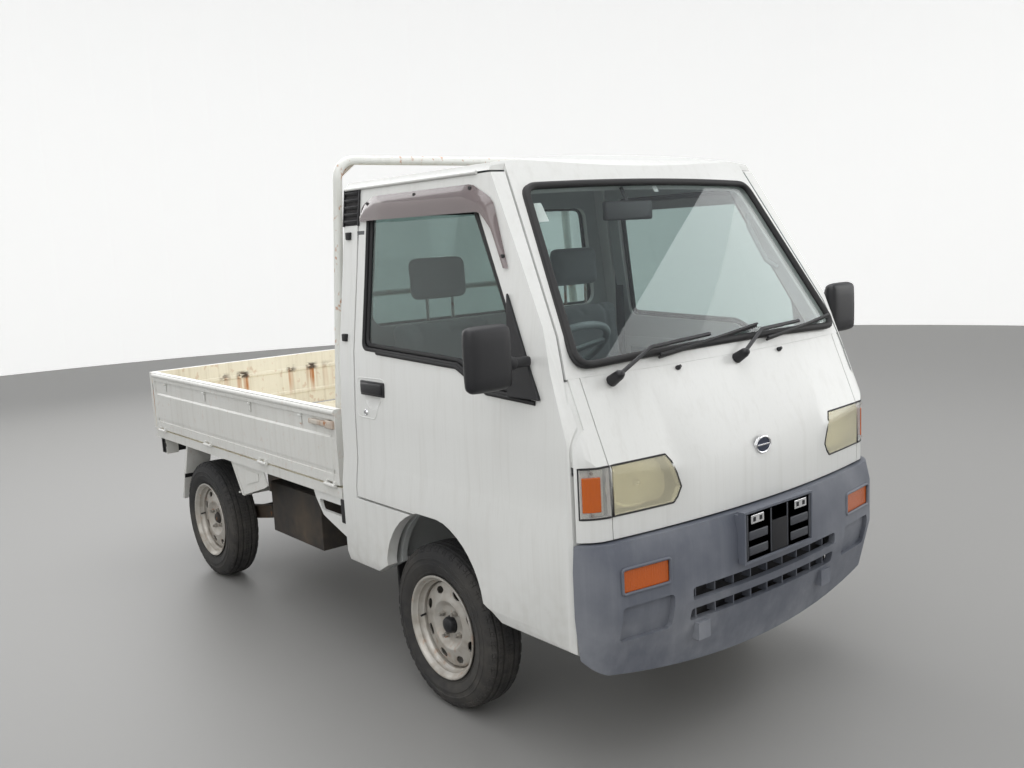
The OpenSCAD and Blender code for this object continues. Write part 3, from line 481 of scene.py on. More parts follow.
SEAT_VINYL = Finish("seat_vinyl", (0.10, 0.105, 0.11), 0.5, fine=1.0, dirt=(0.2, 0.19, 0.17), patches=0.2, bump=0.3)
LABEL = Finish("blank_label", (0.80, 0.80, 0.78), 0.45, patches=0.1)
FLOOR = Finish("studio_floor", (0.235, 0.232, 0.224), 0.5)
WALL = Finish("studio_wall", (0.86, 0.86, 0.85), 0.9, glow=0.46)


# ---------- shapes ----------


class Form:
    """A mesh in the making, in metres and in its place."""

    def __init__(self) -> None:
        """Starts with nothing."""
        self.bm = bmesh.new()

    def box(self, low: Point, high: Point, round_by: float = 0.0, turn: Matrix | None = None) -> "Form":
        """Adds a block.

        Args:
            low: its low corner.
            high: its high corner.
            round_by: the radius of its edges.
            turn: a turn about the block's own centre.

        Returns:
            This form.
        """
        low, high = Vector(low), Vector(high)
        made = bmesh.ops.create_cube(self.bm, size=1.0)["verts"]
        bmesh.ops.scale(self.bm, vec=high - low, verts=made)
        if round_by:
            edges = list({e for v in made for e in v.link_edges})
            made = bmesh.ops.bevel(self.bm, geom=edges, offset=round_by, offset_type="OFFSET", segments=3, profile=0.5,
                                   affect="EDGES", material=-1, clamp_overlap=True)["verts"]
            made = self._island(made[0])
        if turn:
            bmesh.ops.transform(self.bm, matrix=turn, verts=made)
        bmesh.ops.translate(self.bm, vec=(low + high) / 2, verts=made)
        return self

    @staticmethod
    def _island(start: bmesh.types.BMVert) -> list[bmesh.types.BMVert]:
        """Every vertex that edges join to one."""
        found, todo = {start}, [start]
        while todo:
            for edge in todo.pop().link_edges:
                for v in edge.verts:
                    if v not in found:
                        found.add(v)
                        todo.append(v)
        return list(found)

    def rod(self, a: Point, b: Point, r: float, end: float | None = None, sides: int = 24) -> "Form":
        """Adds a round or many-sided rod.

        Args:
            a: the middle of one end.
            b: the middle of the other.
            r: its radius at a.
            end: its radius at b, if another.
            sides: how many sides it has.

        Returns:
            This form.
        """
        a, b = Vector(a), Vector(b)
        matrix = Matrix.Translation((a + b) / 2) @ (b - a).to_track_quat("Z", "Y").to_matrix().to_4x4()
        bmesh.ops.create_cone(self.bm, cap_ends=True, segments=sides, radius1=r, radius2=r if end is None else end,
                              depth=(b - a).length, matrix=matrix)
        return self

    def ball(self, centre: Point, radii: Point) -> "Form":
        """Adds a stretched ball."""
        matrix = Matrix.Translation(centre) @ Matrix.Diagonal((*radii, 1.0))
        bmesh.ops.create_uvsphere(self.bm, u_segments=28, v_segments=16, radius=1.0, matrix=matrix)
        return self

    def prism(self, outline: Sequence[Point], along: Point) -> "Form":
        """Adds an outline stretched along a vector.

        Args:
            outline: the corners of a flat face, in order.
            along: the stretch.

        Returns:
            This form.
        """
        face = self.bm.faces.new([self.bm.verts.new(p) for p in outline])
        grown = bmesh.ops.extrude_face_region(self.bm, geom=[face])["geom"]
        bmesh.ops.translate(self.bm, vec=along, verts=[g for g in grown if isinstance(g, bmesh.types.BMVert)])
        island = self._island(face.verts[0])
        bmesh.ops.recalc_face_normals(self.bm, faces=list({f for v in island for f in v.link_faces}))
        return self

    def sheet(self, x0: float, x1: float, z0: float, z1: float, place: Callable[[float, float], float],
              thick: float, columns: int = 12, rows: int = 6) -> "Form":
        """Adds a sheet that faces the front.

        Args:
            x0: its inner edge.
            x1: its outer edge.
            z0: its lower edge.
            z1: its upper edge.
            place: gives the outer face's Y from X and Z.
            thick: its thickness.
            columns: how many strips it has.
            rows: how many rows it has.

        Returns:
            This form.
        """
        made = bmesh.ops.create_grid(self.bm, x_segments=columns, y_segments=rows, size=0.5)["verts"]
        for v in made:
            x, z = x0 + (x1 - x0) * (v.co.x + 0.5), z0 + (z1 - z0) * (v.co.y + 0.5)
            v.co = (x, place(x, z), z)
        faces = list({f for v in made for f in v.link_faces})
        for face in faces:
            face.normal_update()
        if sum(face.normal.y for face in faces) > 0:
            bmesh.ops.reverse_faces(self.bm, faces=faces)
        if thick:
            bmesh.ops.solidify(self.bm, geom=faces, thickness=thick)
        return self

    def lathe(self, profile: Sequence[tuple[float, float]], centre: Point, axis: Point = (1, 0, 0), steps: int = 48,
              stretch: Point = (1, 1, 1)) -> "Form":
        """Adds a turned shape.

        Args:
            profile: radius and place along the axis of each point.
            centre: where the axis starts.
            axis: the axis.
            steps: how many steps a turn takes.
            stretch: a scale along the lathe's own axes, Z being the axis.

        Returns:
            This form.
        """
        verts = [self.bm.verts.new((r, 0.0, h)) for r, h in profile]
        edges = [self.bm.edges.new(pair) for pair in zip(verts, verts[1:])]
        bmesh.ops.spin(self.bm, geom=verts + edges, cent=(0, 0, 0), axis=(0, 0, 1), angle=math.tau, steps=steps,
                       use_merge=True, use_duplicate=False)
        island = self._island(verts[0])
        bmesh.ops.remove_doubles(self.bm, verts=island, dist=1e-6)
        island = [v for v in island if v.is_valid]
        matrix = (Matrix.Translation(centre) @ Vector(axis).to_track_quat("Z", "Y").to_matrix().to_4x4()
                  @ Matrix.Diagonal((*stretch, 1.0)))
        bmesh.ops.transform(self.bm, matrix=matrix, verts=island)
        bmesh.ops.recalc_face_normals(self.bm, faces=list({f for v in island for f in v.link_faces}))
        return self

    def cut(self, cutters: "Form") -> "Form":
        """Takes other shapes out of this one.

        Args:
            cutters: the shapes, which are used up.

        Returns:
            This form.
        """
        objects = []
        for label, shape in (("cut_target", self), ("cut_tool", cutters)):
            mesh = bpy.data.meshes.new(label)
            shape.bm.to_mesh(mesh)
            made = bpy.data.objects.new(label, mesh)
            bpy.context.scene.collection.objects.link(made)
            objects.append(made)
        target, tool = objects
        cut = target.modifiers.new("cut", "BOOLEAN")
        cut.operation, cut.object, cut.solver = "DIFFERENCE", tool, "EXACT"
        bpy.context.view_layer.update()
        result = bpy.data.meshes.new_from_object(target.evaluated_get(bpy.context.evaluated_depsgraph_get()))
        self.bm.clear()
        self.bm.from_mesh(result)
        cutters.bm.free()
        for made in objects:
            bpy.data.objects.remove(made)
        return self

    def on(self, side: Side) -> "Form":
        """Puts a shape drawn on the +X side on the side asked for."""
        if side is Side.RIGHT:
            bmesh.ops.scale(self.bm, vec=(-1, 1, 1), verts=self.bm.verts)
            bmesh.ops.reverse_faces(self.bm, faces=self.bm.faces[:])
        return self


class Workshop:
    """Turns forms and CAD nodes into finished pieces that ride on the truck's bodies."""

    def __init__(self, frame: dict) -> None:
        """Keeps the frame and starts the finishes.
        """
        self.frame = frame
        self.effects = Effects()
        self.materials: dict[str, bpy.types.Material] = {}

    def material(self, finish: Finish) -> bpy.types.Material:
        """The finish's material, made once."""
        if finish.name not in self.materials:
            self.materials[finish.name] = finish.build(self.effects)
        return self.materials[finish.name]

    def piece(self, name: str, form: Form, finish: Finish, body: str, slot: str | None = None, sharp: float = 35.0,
              bevel: float = 0.0, smooth: int = 0) -> bpy.types.Object:
        """Finishes a form as a piece.

        Args:
            name: the piece's name.
            form: its shape, which is used up.
            finish: its surface.
            body: the body it rides on.
            slot: not used.
            sharp: the angle in degrees past which an edge stays sharp.
            bevel: the width of its edges.
            smooth: subdivision levels.

        Returns:
            The piece.
        """
        for edge in form.bm.edges:
            edge.smooth = len(edge.link_faces) == 2 and edge.calc_face_angle(0.0) < math.radians(sharp)
        for face in form.bm.faces:
            face.smooth = True
        mesh = bpy.data.meshes.new(name)
        form.bm.to_mesh(mesh)
        form.bm.free()
        made = bpy.data.objects.new(name, mesh)
        bpy.context.scene.collection.objects.link(made)
        mesh.materials.append(self.material(finish))
        if bevel:
            edge_round = made.modifiers.new("edges", "BEVEL")
            edge_round.width, edge_round.segments = bevel, 2
            edge_round.limit_method, edge_round.angle_limit = "ANGLE", math.radians(30)
            edge_round.harden_normals = True
        if smooth:
            rounder = made.modifiers.new("smooth", "SUBSURF")
            rounder.levels = rounder.render_levels = smooth
        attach(made, body)
        LOG.info("%s on %s: %d faces", name, body, len(mesh.polygons))
        return made

    def tube(self, name: str, points: Sequence[Point], r: float, finish: Finish, body: str, closed: bool = False,
             slot: str | None = None, side: Side | None = None) -> bpy.types.Object:
        """Finishes a round strip along a line.

        Args:
            name: the piece's name.
            points: the middle of the strip.
            r: its radius.
            finish: its surface.
            body: the body it rides on.
            closed: joins the ends.
            slot: not used (it is handed on to piece, which ignores it).
            side: mirrors a line drawn on the +X side for the right.

        Returns:
            The piece.
        """
        flip = -1.0 if side is Side.RIGHT else 1.0
        curve = bpy.data.curves.new(name + "_line", "CURVE")
        curve.dimensions, curve.bevel_depth, curve.bevel_resolution = "3D", r, 3
        curve.use_fill_caps = True
        spline = curve.splines.new("POLY")
        spline.points.add(len(points) - 1)
        for spot, p in zip(spline.points, points):
            spot.co = (p[0] * flip, p[1], p[2], 1.0)
        spline.use_cyclic_u = closed
        line = bpy.data.objects.new(name + "_line", curve)
        bpy.context.scene.collection.objects.link(line)
        mesh = bpy.data.meshes.new_from_object(line.evaluated_get(bpy.context.evaluated_depsgraph_get()))
        bpy.data.objects.remove(line)
        form = Form()
        form.bm.from_mesh(mesh)
        bmesh.ops.remove_doubles(form.bm, verts=form.bm.verts, dist=1e-6)
        bmesh.ops.recalc_face_normals(form.bm, faces=form.bm.faces)
        return self.piece(name, form, finish, body, slot, sharp=60)

    def panel(self, node: str, finish: Finish, slot: str, bevel: float = 0.002, inner: Finish | None = None,
              is_inner: Callable[[Vector, Vector], bool] | None = None, sharp: float = 24.0,
              cutters: Form | None = None) -> bpy.types.Object:
        """Stands a merged, edge-rounded copy in for a CAD node.

        Args:
            node: the CAD node.
            finish: its main surface.
            slot: not used (it is handed on to piece, which ignores it).
            bevel: the width of its edges.
            inner: a second surface, if it has one.
            is_inner: says from a face's centre and normal if it takes the second surface.
            sharp: the angle in degrees past which an edge stays sharp.
            cutters: shapes taken out of the copy, if any, which are used up.

        Returns:
            The piece.
        """
        form = Form()
        form.bm.from_mesh(self.frame["nodes"][node].data)
        bmesh.ops.remove_doubles(form.bm, verts=form.bm.verts, dist=2e-5)
        bmesh.ops.dissolve_limit(form.bm, angle_limit=math.radians(0.03), use_dissolve_boundaries=False,
                                 verts=form.bm.verts, edges=form.bm.edges)
        if cutters:
            form.cut(cutters)
        if inner and is_inner:
            for face in form.bm.faces:
                face.material_index = 1 if is_inner(face.calc_center_median(), face.normal) else 0
        made = self.piece(node + "_skin", form, finish, self.body_of(node), slot, sharp, bevel)
        if inner:
            made.data.materials.append(self.material(inner))
        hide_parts(node)
        return made

    def body_of(self, node: str) -> str:
        """The body a CAD node rides on."""
        return self.frame["nodes"][node]["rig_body"]

    def dress(self, node: str, finish: Finish) -> None:
        """Gives a CAD node a finish."""
        target = self.frame["nodes"][node]
        target.data.materials.clear()
        target.data.materials.append(self.material(finish))


# ---------- the cab's surfaces ----------


@dataclass(frozen=True)
class CabSurface:
    """Where the cab's outer skin is, from the sizes of the part."""

    half: float = 0.6975
    front: float = -1.6475
    belt: float = 1.130
    gutter: float = 1.706
    cowl: float = -1.4755
    rake: float = math.radians(31.4)
    pane_bow: float = 7.2
    brow_bow: float = 5.0
    brow_rake: float = math.radians(22.5)
    nose: float = -1.590
    nose_bow: float = 3.4
    fold: float = 0.870
    corner_r: float = 0.13
    bumper: float = -1.625
    bumper_lean: float = math.radians(14)
    sides: tuple[tuple[float, float], ...] = (
        (0.370, 0.042), (0.392, 0.010), (0.428, 0.0), (0.680, 0.0), (0.777, 0.013), (0.947, 0.017), (1.150, 0.029),
        (1.405, 0.062), (1.706, 0.099))

    def side_x(self, z: float) -> float:
        """How far the left side's skin is from the middle at a height."""
        for (z0, d0), (z1, d1) in zip(self.sides, self.sides[1:]):
            if z <= z1:
                return self.half - d0 - (d1 - d0) * (z - z0) / (z1 - z0)
        return self.half - self.sides[-1][1]

    def front_y(self, x: float, z: float) -> float:
        """Where the nose's skin is at a place seen from the front."""
        def leaning(y0: float, z0: float, lean: float, bow: float, w: float, r: float) -> float:
            flat = bow - math.sqrt(bow * bow - min(abs(x), w - r) ** 2)
            if abs(x) > w - r:
                corner = bow - math.sqrt(bow * bow - (w - r) ** 2) + r
                flat = corner - math.sqrt(max(0.0, r * r - (abs(x) - w + r) ** 2))
            up = (z - z0 + flat * math.sin(lean)) / math.cos(lean)
            return y0 + flat * math.cos(lean) + up * math.sin(lean)
        return max(leaning(self.nose, 0.0, 0.0, self.nose_bow, self.half, 0.13),
                   leaning(self.nose + 0.005, self.fold, self.brow_rake, self.brow_bow, self.half, 0.08),
                   leaning(self.cowl, self.belt + 0.022, self.rake, self.pane_bow, 2 * self.half, 0.13))

    def bumper_y(self, x: float, z: float) -> float:
        """Where the bumper's outer face is at a place seen from the front."""
        bow, r = self.nose_bow, self.corner_r
        flat = bow - math.sqrt(bow * bow - min(abs(x), self.half - r) ** 2)
        if abs(x) > self.half - r:
            corner = bow - math.sqrt(bow * bow - (self.half - r) ** 2) + r
            flat = corner - math.sqrt(max(0.0, r * r - (abs(x) - self.half + r) ** 2))
        return self.bumper + flat + max(0.0, 0.48 - z) * math.tan(self.bumper_lean)

    def pane(self, x: float, up: float, out: float = 0.0) -> Vector:
        """A point over the windshield.

        Args:
            x: its place across.
            up: its place up the slope from the lower edge's level.
            out: how far it stands off the skin.

        Returns:
            The point.
        """
        bow = self.pane_bow - math.sqrt((self.pane_bow + out) ** 2 - x * x)
        return Vector((x, self.cowl + bow * math.cos(self.rake) + up * math.sin(self.rake),
                       self.belt + 0.022 - bow * math.sin(self.rake) + up * math.cos(self.rake)))


CAB = CabSurface()


def rounded(corners: Sequence[tuple[float, float]], r: float, n: int = 6) -> list[tuple[float, float]]:
    """A flat outline with round corners.

    Args:
        corners: the corners, in order.
        r: the corners' radius.
        n: steps in a corner.

    Returns:
        The outline's points.
    """
    points = []
    for i, corner in enumerate(corners):
        p, a, b = Vector(corner), Vector(corners[i - 1]), Vector(corners[(i + 1) % len(corners)])
        ua, ub = (a - p).normalized(), (b - p).normalized()
        reach = min(r / math.tan(ua.angle(ub) / 2), (a - p).length / 2, (b - p).length / 2)
        for k in range(n + 1):
            t = k / n
            points.append(tuple(p + ua * reach * (1 - t) ** 2 + ub * reach * t ** 2))
    return points


def spaced(outline: Sequence[tuple[float, float]], step: float = 0.04) -> list[tuple[float, float]]:
    """An outline with points added along its long sides."""
    points = []
    for i, p in enumerate(outline):
        q = outline[(i + 1) % len(outline)]
        n = max(1, int(math.dist(p, q) / step))
        points += [(p[0] + (q[0] - p[0]) * k / n, p[1] + (q[1] - p[1]) * k / n) for k in range(n)]
    return points


# ---------- the truck's sub-assemblies ----------


@dataclass
class Cab:
    """The painted shell with its seals, vents, badge and wipers."""

    shop: Workshop
    seal_r: float = 0.0115
    rear_glass_y: float = -0.2905
    wiper_pivots: tuple[tuple[float, float], ...] = ((-0.50, -0.030), (0.017, -0.036))
    wiper_tips: tuple[tuple[float, float], ...] = ((0.153, 0.052), (0.571, 0.055))
    badge_z: float = 0.866

    def build(self) -> None:
        """Makes every piece of the shell."""
        self.shell()
        self.glass()
        self.wipers()
        self.badge()
        self.trim()

    def shell(self) -> None:
        """The painted panels, grey inside."""
        inner = dict(inner=CAB_INNER)
        self.shop.panel("cab_roof", BODY_WHITE, "body_paint", 0.004, is_inner=lambda c, n: n.z < -0.5, **inner)
        self.shop.panel("cab_back", BODY_WHITE, "body_paint", 0.003,
                        is_inner=lambda c, n: n.y < -0.5 and abs(c.x) < 0.64, **inner)
        self.shop.panel("windshield_frame", BODY_WHITE, "body_paint", 0.0, sharp=10,
                        is_inner=lambda c, n: n.y > 0.4 and n.z < -0.2, **inner)
        self.shop.panel("front_panel", BODY_WHITE, "body_paint", 0.0022,
                        is_inner=lambda c, n: n.y > 0.5, **inner)
        self.shop.panel("front_corners", BODY_WHITE, "body_paint", 0.0022)
        self.shop.panel("cab_floor", CAB_INNER, "cab_inner", 0.003)
        for side in Side:
            fill = Form().sheet(0.622, 0.688, 0.905, 1.124, lambda x, z: CAB.front_y(x, z) + 0.005, 0.003, 16, 8)
            for v in fill.bm.verts:
                v.co.x = min(v.co.x, CAB.side_x(v.co.z) - 0.010)
            self.shop.piece(f"corner_fill_{side.tag}", fill.on(side), BODY_WHITE, "truck", "body_paint")

    def glass(self) -> None:
        """The windshield, the rear window and their rubber seals."""
        self.shop.dress("windshield", WINDOW)
        self.shop.dress("rear_window", TINTED)
        height = (CAB.gutter - 0.030 - CAB.belt - 0.034) / math.cos(CAB.rake)
        top = CAB.half - 0.055 - (CAB.gutter - CAB.belt) * 0.163 - 0.042
        low = CAB.half - 0.098
        outline = rounded([(-low, 0.024), (low, 0.024), (top, height), (-top, height)], 0.048)
        ring = [CAB.pane(x, up, 0.001) for x, up in spaced(outline)]
        self.shop.tube("windshield_seal", ring, self.seal_r, RUBBER, "truck", closed=True)
        lip = [CAB.pane(x * 1.018, 0.024 + (up - 0.024) * 1.012 - 0.004, -0.001) for x, up in spaced(outline)]
        self.shop.tube("windshield_seal_lip", lip, 0.006, RUBBER, "truck", closed=True)
        rear = rounded([(-CAB.half + 0.150, CAB.belt + 0.090), (CAB.half - 0.150, CAB.belt + 0.090),
                        (CAB.half - 0.190, CAB.gutter - 0.090), (-CAB.half + 0.190, CAB.gutter - 0.090)], 0.045)
        self.shop.tube("rear_window_seal", [(x, self.rear_glass_y - 0.004, z) for x, z in spaced(rear)], 0.010,
                       RUBBER, "truck", closed=True)
        for tag, (x0, up0), (x1, up1) in (("sticker", (-0.521, 0.548), (-0.463, 0.485)),
                                          ("date_tag", (0.020, 0.600), (0.040, 0.570))):
            form = Form()
            corners = [CAB.pane(x, up, -0.0148) for x, up in ((x0, up0), (x1, up0), (x1, up1), (x0, up1))]
            form.prism(corners, (0, 0.0006, -0.0004))
            self.shop.piece(tag, form, LABEL, "truck")

    def wipers(self) -> None:
        """Two wipers parked along the glass's lower edge, with their pivots and the washer nozzles."""
        for i, ((px, pu), (tx, tu)) in enumerate(zip(self.wiper_pivots, self.wiper_tips)):
            name = f"wiper_{i + 1}"
            pivot, tip = CAB.pane(px, pu, 0.022), CAB.pane(tx, tu, 0.016)
            elbow = CAB.pane(px + (tx - px) * 0.22, pu + (tu - pu) * 0.55 + 0.014, 0.034)
            grip = CAB.pane(px + (tx - px) * 0.62, pu + (tu - pu) * 0.80 + 0.006, 0.026)
            base = Form().rod(CAB.pane(px, pu, -0.012), CAB.pane(px, pu, 0.030), 0.017, 0.014)
            base.ball(CAB.pane(px, pu, 0.030), (0.014, 0.012, 0.012))
            self.shop.piece(name + "_pivot", base, BLACK_PLASTIC, "truck", "black_plastic", bevel=0.002)
            self.shop.tube(name + "_arm", [pivot, elbow, grip], 0.0062, BLACK_PLASTIC, "truck", slot="black_plastic")
            start = CAB.pane(px + (tx - px) * 0.28, pu + (tu - pu) * 0.30 + 0.010, 0.016)
            ends = [start + (tip - start) * t + Vector((0, -0.010 * math.sin(t * math.pi), 0.004)) for t in
                    (0.0, 0.15, 0.35, 0.5, 0.65, 0.85, 1.0)]
            self.shop.tube(name + "_frame", ends, 0.0042, BLACK_PLASTIC, "truck", slot="black_plastic")
            blade = Form()
            for a, b in zip(range(12), range(1, 13)):
                u0, u1 = (start + (tip - start) * (a / 12)), (start + (tip - start) * (b / 12))
                blade.rod(u0 + Vector((0, 0.004, -0.004)), u1 + Vector((0, 0.004, -0.004)), 0.0045, sides=6)
            self.shop.piece(name + "_blade", blade, RUBBER, "truck")
        nozzles = Form()
        for x in (-0.24, 0.24):
            y = CAB.front_y(x, 1.118)
            nozzles.ball((x, y - 0.002, 1.118), (0.010, 0.008, 0.007)).rod((x, y, 1.118), (x, y - 0.012, 1.124), 0.0045)
        self.shop.piece("washer_nozzles", nozzles, BLACK_PLASTIC, "truck", "black_plastic")

    def badge(self) -> None:
        """A plain oval badge: a bright rim and bar round a dark field."""
        y = CAB.front_y(0.0, self.badge_z)
        centre, out = (0.0, y - 0.0005, self.badge_z), (0, -1, 0)
        wide = (1.42, 1.0, 1.0)
        field_form = Form().lathe([(0.0, 0.004), (0.022, 0.003), (0.024, 0.0)], centre, out, 48, wide)
        self.shop.piece("badge_field", field_form, BADGE_DARK, "truck")
        rim = Form().lathe([(0.0215, 0.002), (0.0215, 0.006), (0.024, 0.0075), (0.0265, 0.006), (0.027, 0.0)], centre,
                           out, 64, wide)
        rim.box((-0.029, y - 0.0075, self.badge_z - 0.0022), (0.029, y - 0.002, self.badge_z + 0.0022), 0.001)
        self.shop.piece("badge_rim", rim, CHROME, "truck", bevel=0.0006)

    def trim(self) -> None:
        """Vents behind the doors, gutters and stops."""
        for side in Side:
            vent = Form()
            for k in range(5):
                z = 1.595 + k * 0.024
                x = CAB.side_x(z)
                vent.box((x - 0.004, -0.392, z - 0.007), (x + 0.007, -0.302, z + 0.005), 0.002,
                         Matrix.Rotation(math.radians(24), 4, "Y"))
            for y in (-0.398, -0.300):
                vent.prism([(CAB.side_x(1.578) - 0.006, y, 1.578), (CAB.side_x(1.578) + 0.007, y, 1.578),
                            (CAB.side_x(1.706) + 0.007, y, 1.706), (CAB.side_x(1.706) - 0.006, y, 1.706)],
                           (0, 0.006, 0))
            self.shop.piece(f"side_vent_{side.tag}", vent.on(side), BLACK_PLASTIC, "truck", "black_plastic",
                            bevel=0.001)
            # A near-black sheet behind the louvres: painted shade of the vent's inside.
            back = Form().prism([(CAB.side_x(1.58) + 0.001, -0.395, 1.580), (CAB.side_x(1.704) + 0.001, -0.395, 1.704),
                                 (CAB.side_x(1.704) - 0.004, -0.395, 1.704), (CAB.side_x(1.58) - 0.004, -0.395, 1.58)],
                                (0, 0.095, 0))
            self.shop.piece(f"side_vent_back_{side.tag}", back.on(side), PAINTED_SHADE, "truck")
            gutter = [(CAB.side_x(1.700) + 0.004, y, 1.704) for y in (-0.30, -0.45, -0.7, -0.9, -1.05)]
            self.shop.tube(f"rain_gutter_{side.tag}", gutter, 0.0055, BODY_WHITE, "truck", slot="body_paint",
                           side=side)
            stops = Form()
            for z in (1.545, 1.197):
                x = CAB.side_x(z)
                stops.box((x - 0.004, -0.345, z - 0.013), (x + 0.010, -0.318, z + 0.013), 0.003)
            self.shop.piece(f"pillar_stops_{side.tag}", stops.on(side), RUBBER, "truck")


@dataclass
class Lamps:
    """Head, corner, bumper and rear lamps."""

    shop: Workshop
    inner_x: float = 0.3475
    seam_x: float = 0.5855
    low: float = 0.764
    high: float = 0.901

    def build(self) -> None:
        """Makes every lamp."""
        for side in Side:
            self.head(side)
            self.corner(side)
            self.bumper(side)
            self.rear(side)
        # A small box in the painted-shade finish, inside the nose, stands in for the hidden lamp node.
        form = Form()
        source = self.shop.frame["nodes"]["front_lamps"].data
        form.bm.from_mesh(source)
        bmesh.ops.delete(form.bm, geom=form.bm.verts[:], context="VERTS")
        form.box((-0.02, -1.50, 0.78), (0.02, -1.498, 0.80), 0.0005)
        hidden = self.shop.piece("lamp_bracket", form, PAINTED_SHADE, "truck")
        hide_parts("front_lamps")

    def _lens(self, x0: float, x1: float, outline: Callable[[float], tuple[float, float]], out: float, thick: float,
              columns: int = 14) -> Form:
        """A lens that follows the cab's nose.

        Args:
            x0: its inner edge.
            x1: its outer edge.
            outline: gives its low and high edge at x.
            out: how far it stands off the skin.
            thick: its thickness.
            columns: how many strips it has.

        Returns:
            The form.
        """
        def place(x: float, z: float) -> float:
            low, high = outline(x)
            return CAB.front_y(x, low + (high - low) * z) - out

        form = Form().sheet(x0, x1, 0.0, 1.0, place, 0.0, columns, 8)
        for v in form.bm.verts:
            low, high = outline(v.co.x)
            v.co.z = low + (high - low) * v.co.z
        bmesh.ops.solidify(form.bm, geom=form.bm.faces[:], thickness=thick)
        return form

    def head_edges(self, x: float) -> tuple[float, float]:
        """The headlamp's low and high edge at x, with its round inner end."""
        foot = min(1.0, max(0.0, x - self.inner_x) / 0.024)
        head = min(1.0, max(0.0, x - self.inner_x) / 0.042)
        return self.low + 0.040 * (1 - foot) ** 1.15, self.high - 0.094 * (1 - head) ** 1.25

    def head(self, side: Side) -> None:
        """A headlamp: its aged lens, bowl, bulb and gasket."""
        lens = self._lens(self.inner_x, self.seam_x - 0.006, self.head_edges, 0.001, 0.004, 20)
        self.shop.piece(f"headlamp_lens_{side.tag}", lens.on(side), HEAD_LENS, "truck", "lamp_lens", sharp=50)
        bowl = Form().lathe([(0.012, -0.050), (0.030, -0.046), (0.052, -0.034), (0.068, -0.014), (0.074, 0.0),
                             (0.078, 0.0)], (0.470, -1.512, 0.832), (0, -1, 0.10), 40, (1.45, 0.86, 1.0))
        self.shop.piece(f"headlamp_bowl_{side.tag}", bowl.on(side), REFLECTOR, "truck")
        back = self._lens(self.inner_x + 0.014, self.seam_x - 0.008, lambda x: (
            self.head_edges(x - 0.010)[0] + 0.004, self.head_edges(x - 0.010)[1] - 0.004), -0.045, 0.003)
        self.shop.piece(f"headlamp_back_{side.tag}", back.on(side), REFLECTOR, "truck")
        bulb = Form().rod((0.470, -1.475, 0.832), (0.470, -1.500, 0.832), 0.011).ball(
            (0.470, -1.512, 0.832), (0.010, 0.018, 0.010))
        self.shop.piece(f"headlamp_bulb_{side.tag}", bulb.on(side), CLEAR_LENS, "truck", "lamp_lens")
        edge = []
        xs = [self.inner_x + (self.seam_x - 0.004 - self.inner_x) * k / 16 for k in range(17)]
        for x in xs:
            edge.append((x, CAB.front_y(x, self.head_edges(x)[1]) + 0.001, self.head_edges(x)[1]))
        for x in reversed(xs):
            edge.append((x, CAB.front_y(x, self.head_edges(x)[0]) + 0.001, self.head_edges(x)[0]))
        self.shop.tube(f"headlamp_gasket_{side.tag}", edge, 0.0032, RUBBER, "truck", closed=True, side=side)

    def corner(self, side: Side) -> None:
        """The clear corner lamp with its amber turn lamp inside."""
        def edges(x: float) -> tuple[float, float]:
            return self.low, self.high

        x_end = 0.666
        lens = self._lens(self.seam_x, x_end, edges, 0.001, 0.003, 16)
        self.shop.piece(f"corner_lens_{side.tag}", lens.on(side), CLEAR_LENS, "truck", "lamp_lens", sharp=50)
        back = self._lens(self.seam_x + 0.004, 0.650, edges, -0.030, 0.002)
        self.shop.piece(f"corner_back_{side.tag}", back.on(side), REFLECTOR, "truck")
        amber = self._lens(0.620, 0.662, lambda x: (self.low + 0.018, self.high - 0.024), 0.0035, 0.014, 10)
        self.shop.piece(f"corner_turn_{side.tag}", amber.on(side), AMBER_LENS, "truck", "lamp_lens", bevel=0.002)
        ring = []
        xs = [self.seam_x + 0.002 + (x_end - self.seam_x - 0.002) * k / 14 for k in range(15)]
        for z in (self.high, self.low):
            ring += [(x, CAB.front_y(x, z) + 0.0005, z) for x in (xs if z == self.high else reversed(xs))]
        self.shop.tube(f"corner_gasket_{side.tag}", ring, 0.0030, RUBBER, "truck", closed=True, side=side)
        screws = Form()
        for z in (self.low + 0.010, self.high - 0.012):
            y = CAB.front_y(0.640, z)
            screws.rod((0.640, y + 0.004, z), (0.640, y - 0.003, z), 0.004, sides=12)
        self.shop.piece(f"corner_screws_{side.tag}", screws.on(side), BOLT_STEEL, "truck")

    def bumper(self, side: Side) -> None:
        """The amber lamp in the bumper."""
        x0, x1, z0, z1 = 0.4305, 0.5915, 0.556, 0.624

        form = Form().sheet(x0, x1, z0, z1, lambda x, z: CAB.bumper_y(x, z) + 0.003, 0.02)
        self.shop.piece(f"bumper_lamp_{side.tag}", form.on(side), AMBER_LENS, "truck", "lamp_lens", bevel=0.004)
        frame = [(x, CAB.bumper_y(x, z) - 0.0005, z) for x, z in
                 spaced(rounded([(x0 - 0.001, z0 - 0.001), (x1 + 0.001, z0 - 0.001), (x1 + 0.001, z1 + 0.001),
                                 (x0 - 0.001, z1 + 0.001)], 0.010), 0.02)]
        self.shop.tube(f"bumper_lamp_frame_{side.tag}", frame, 0.0045, BUMPER_GREY, "truck", closed=True,
                       slot="bumper_plastic", side=side)

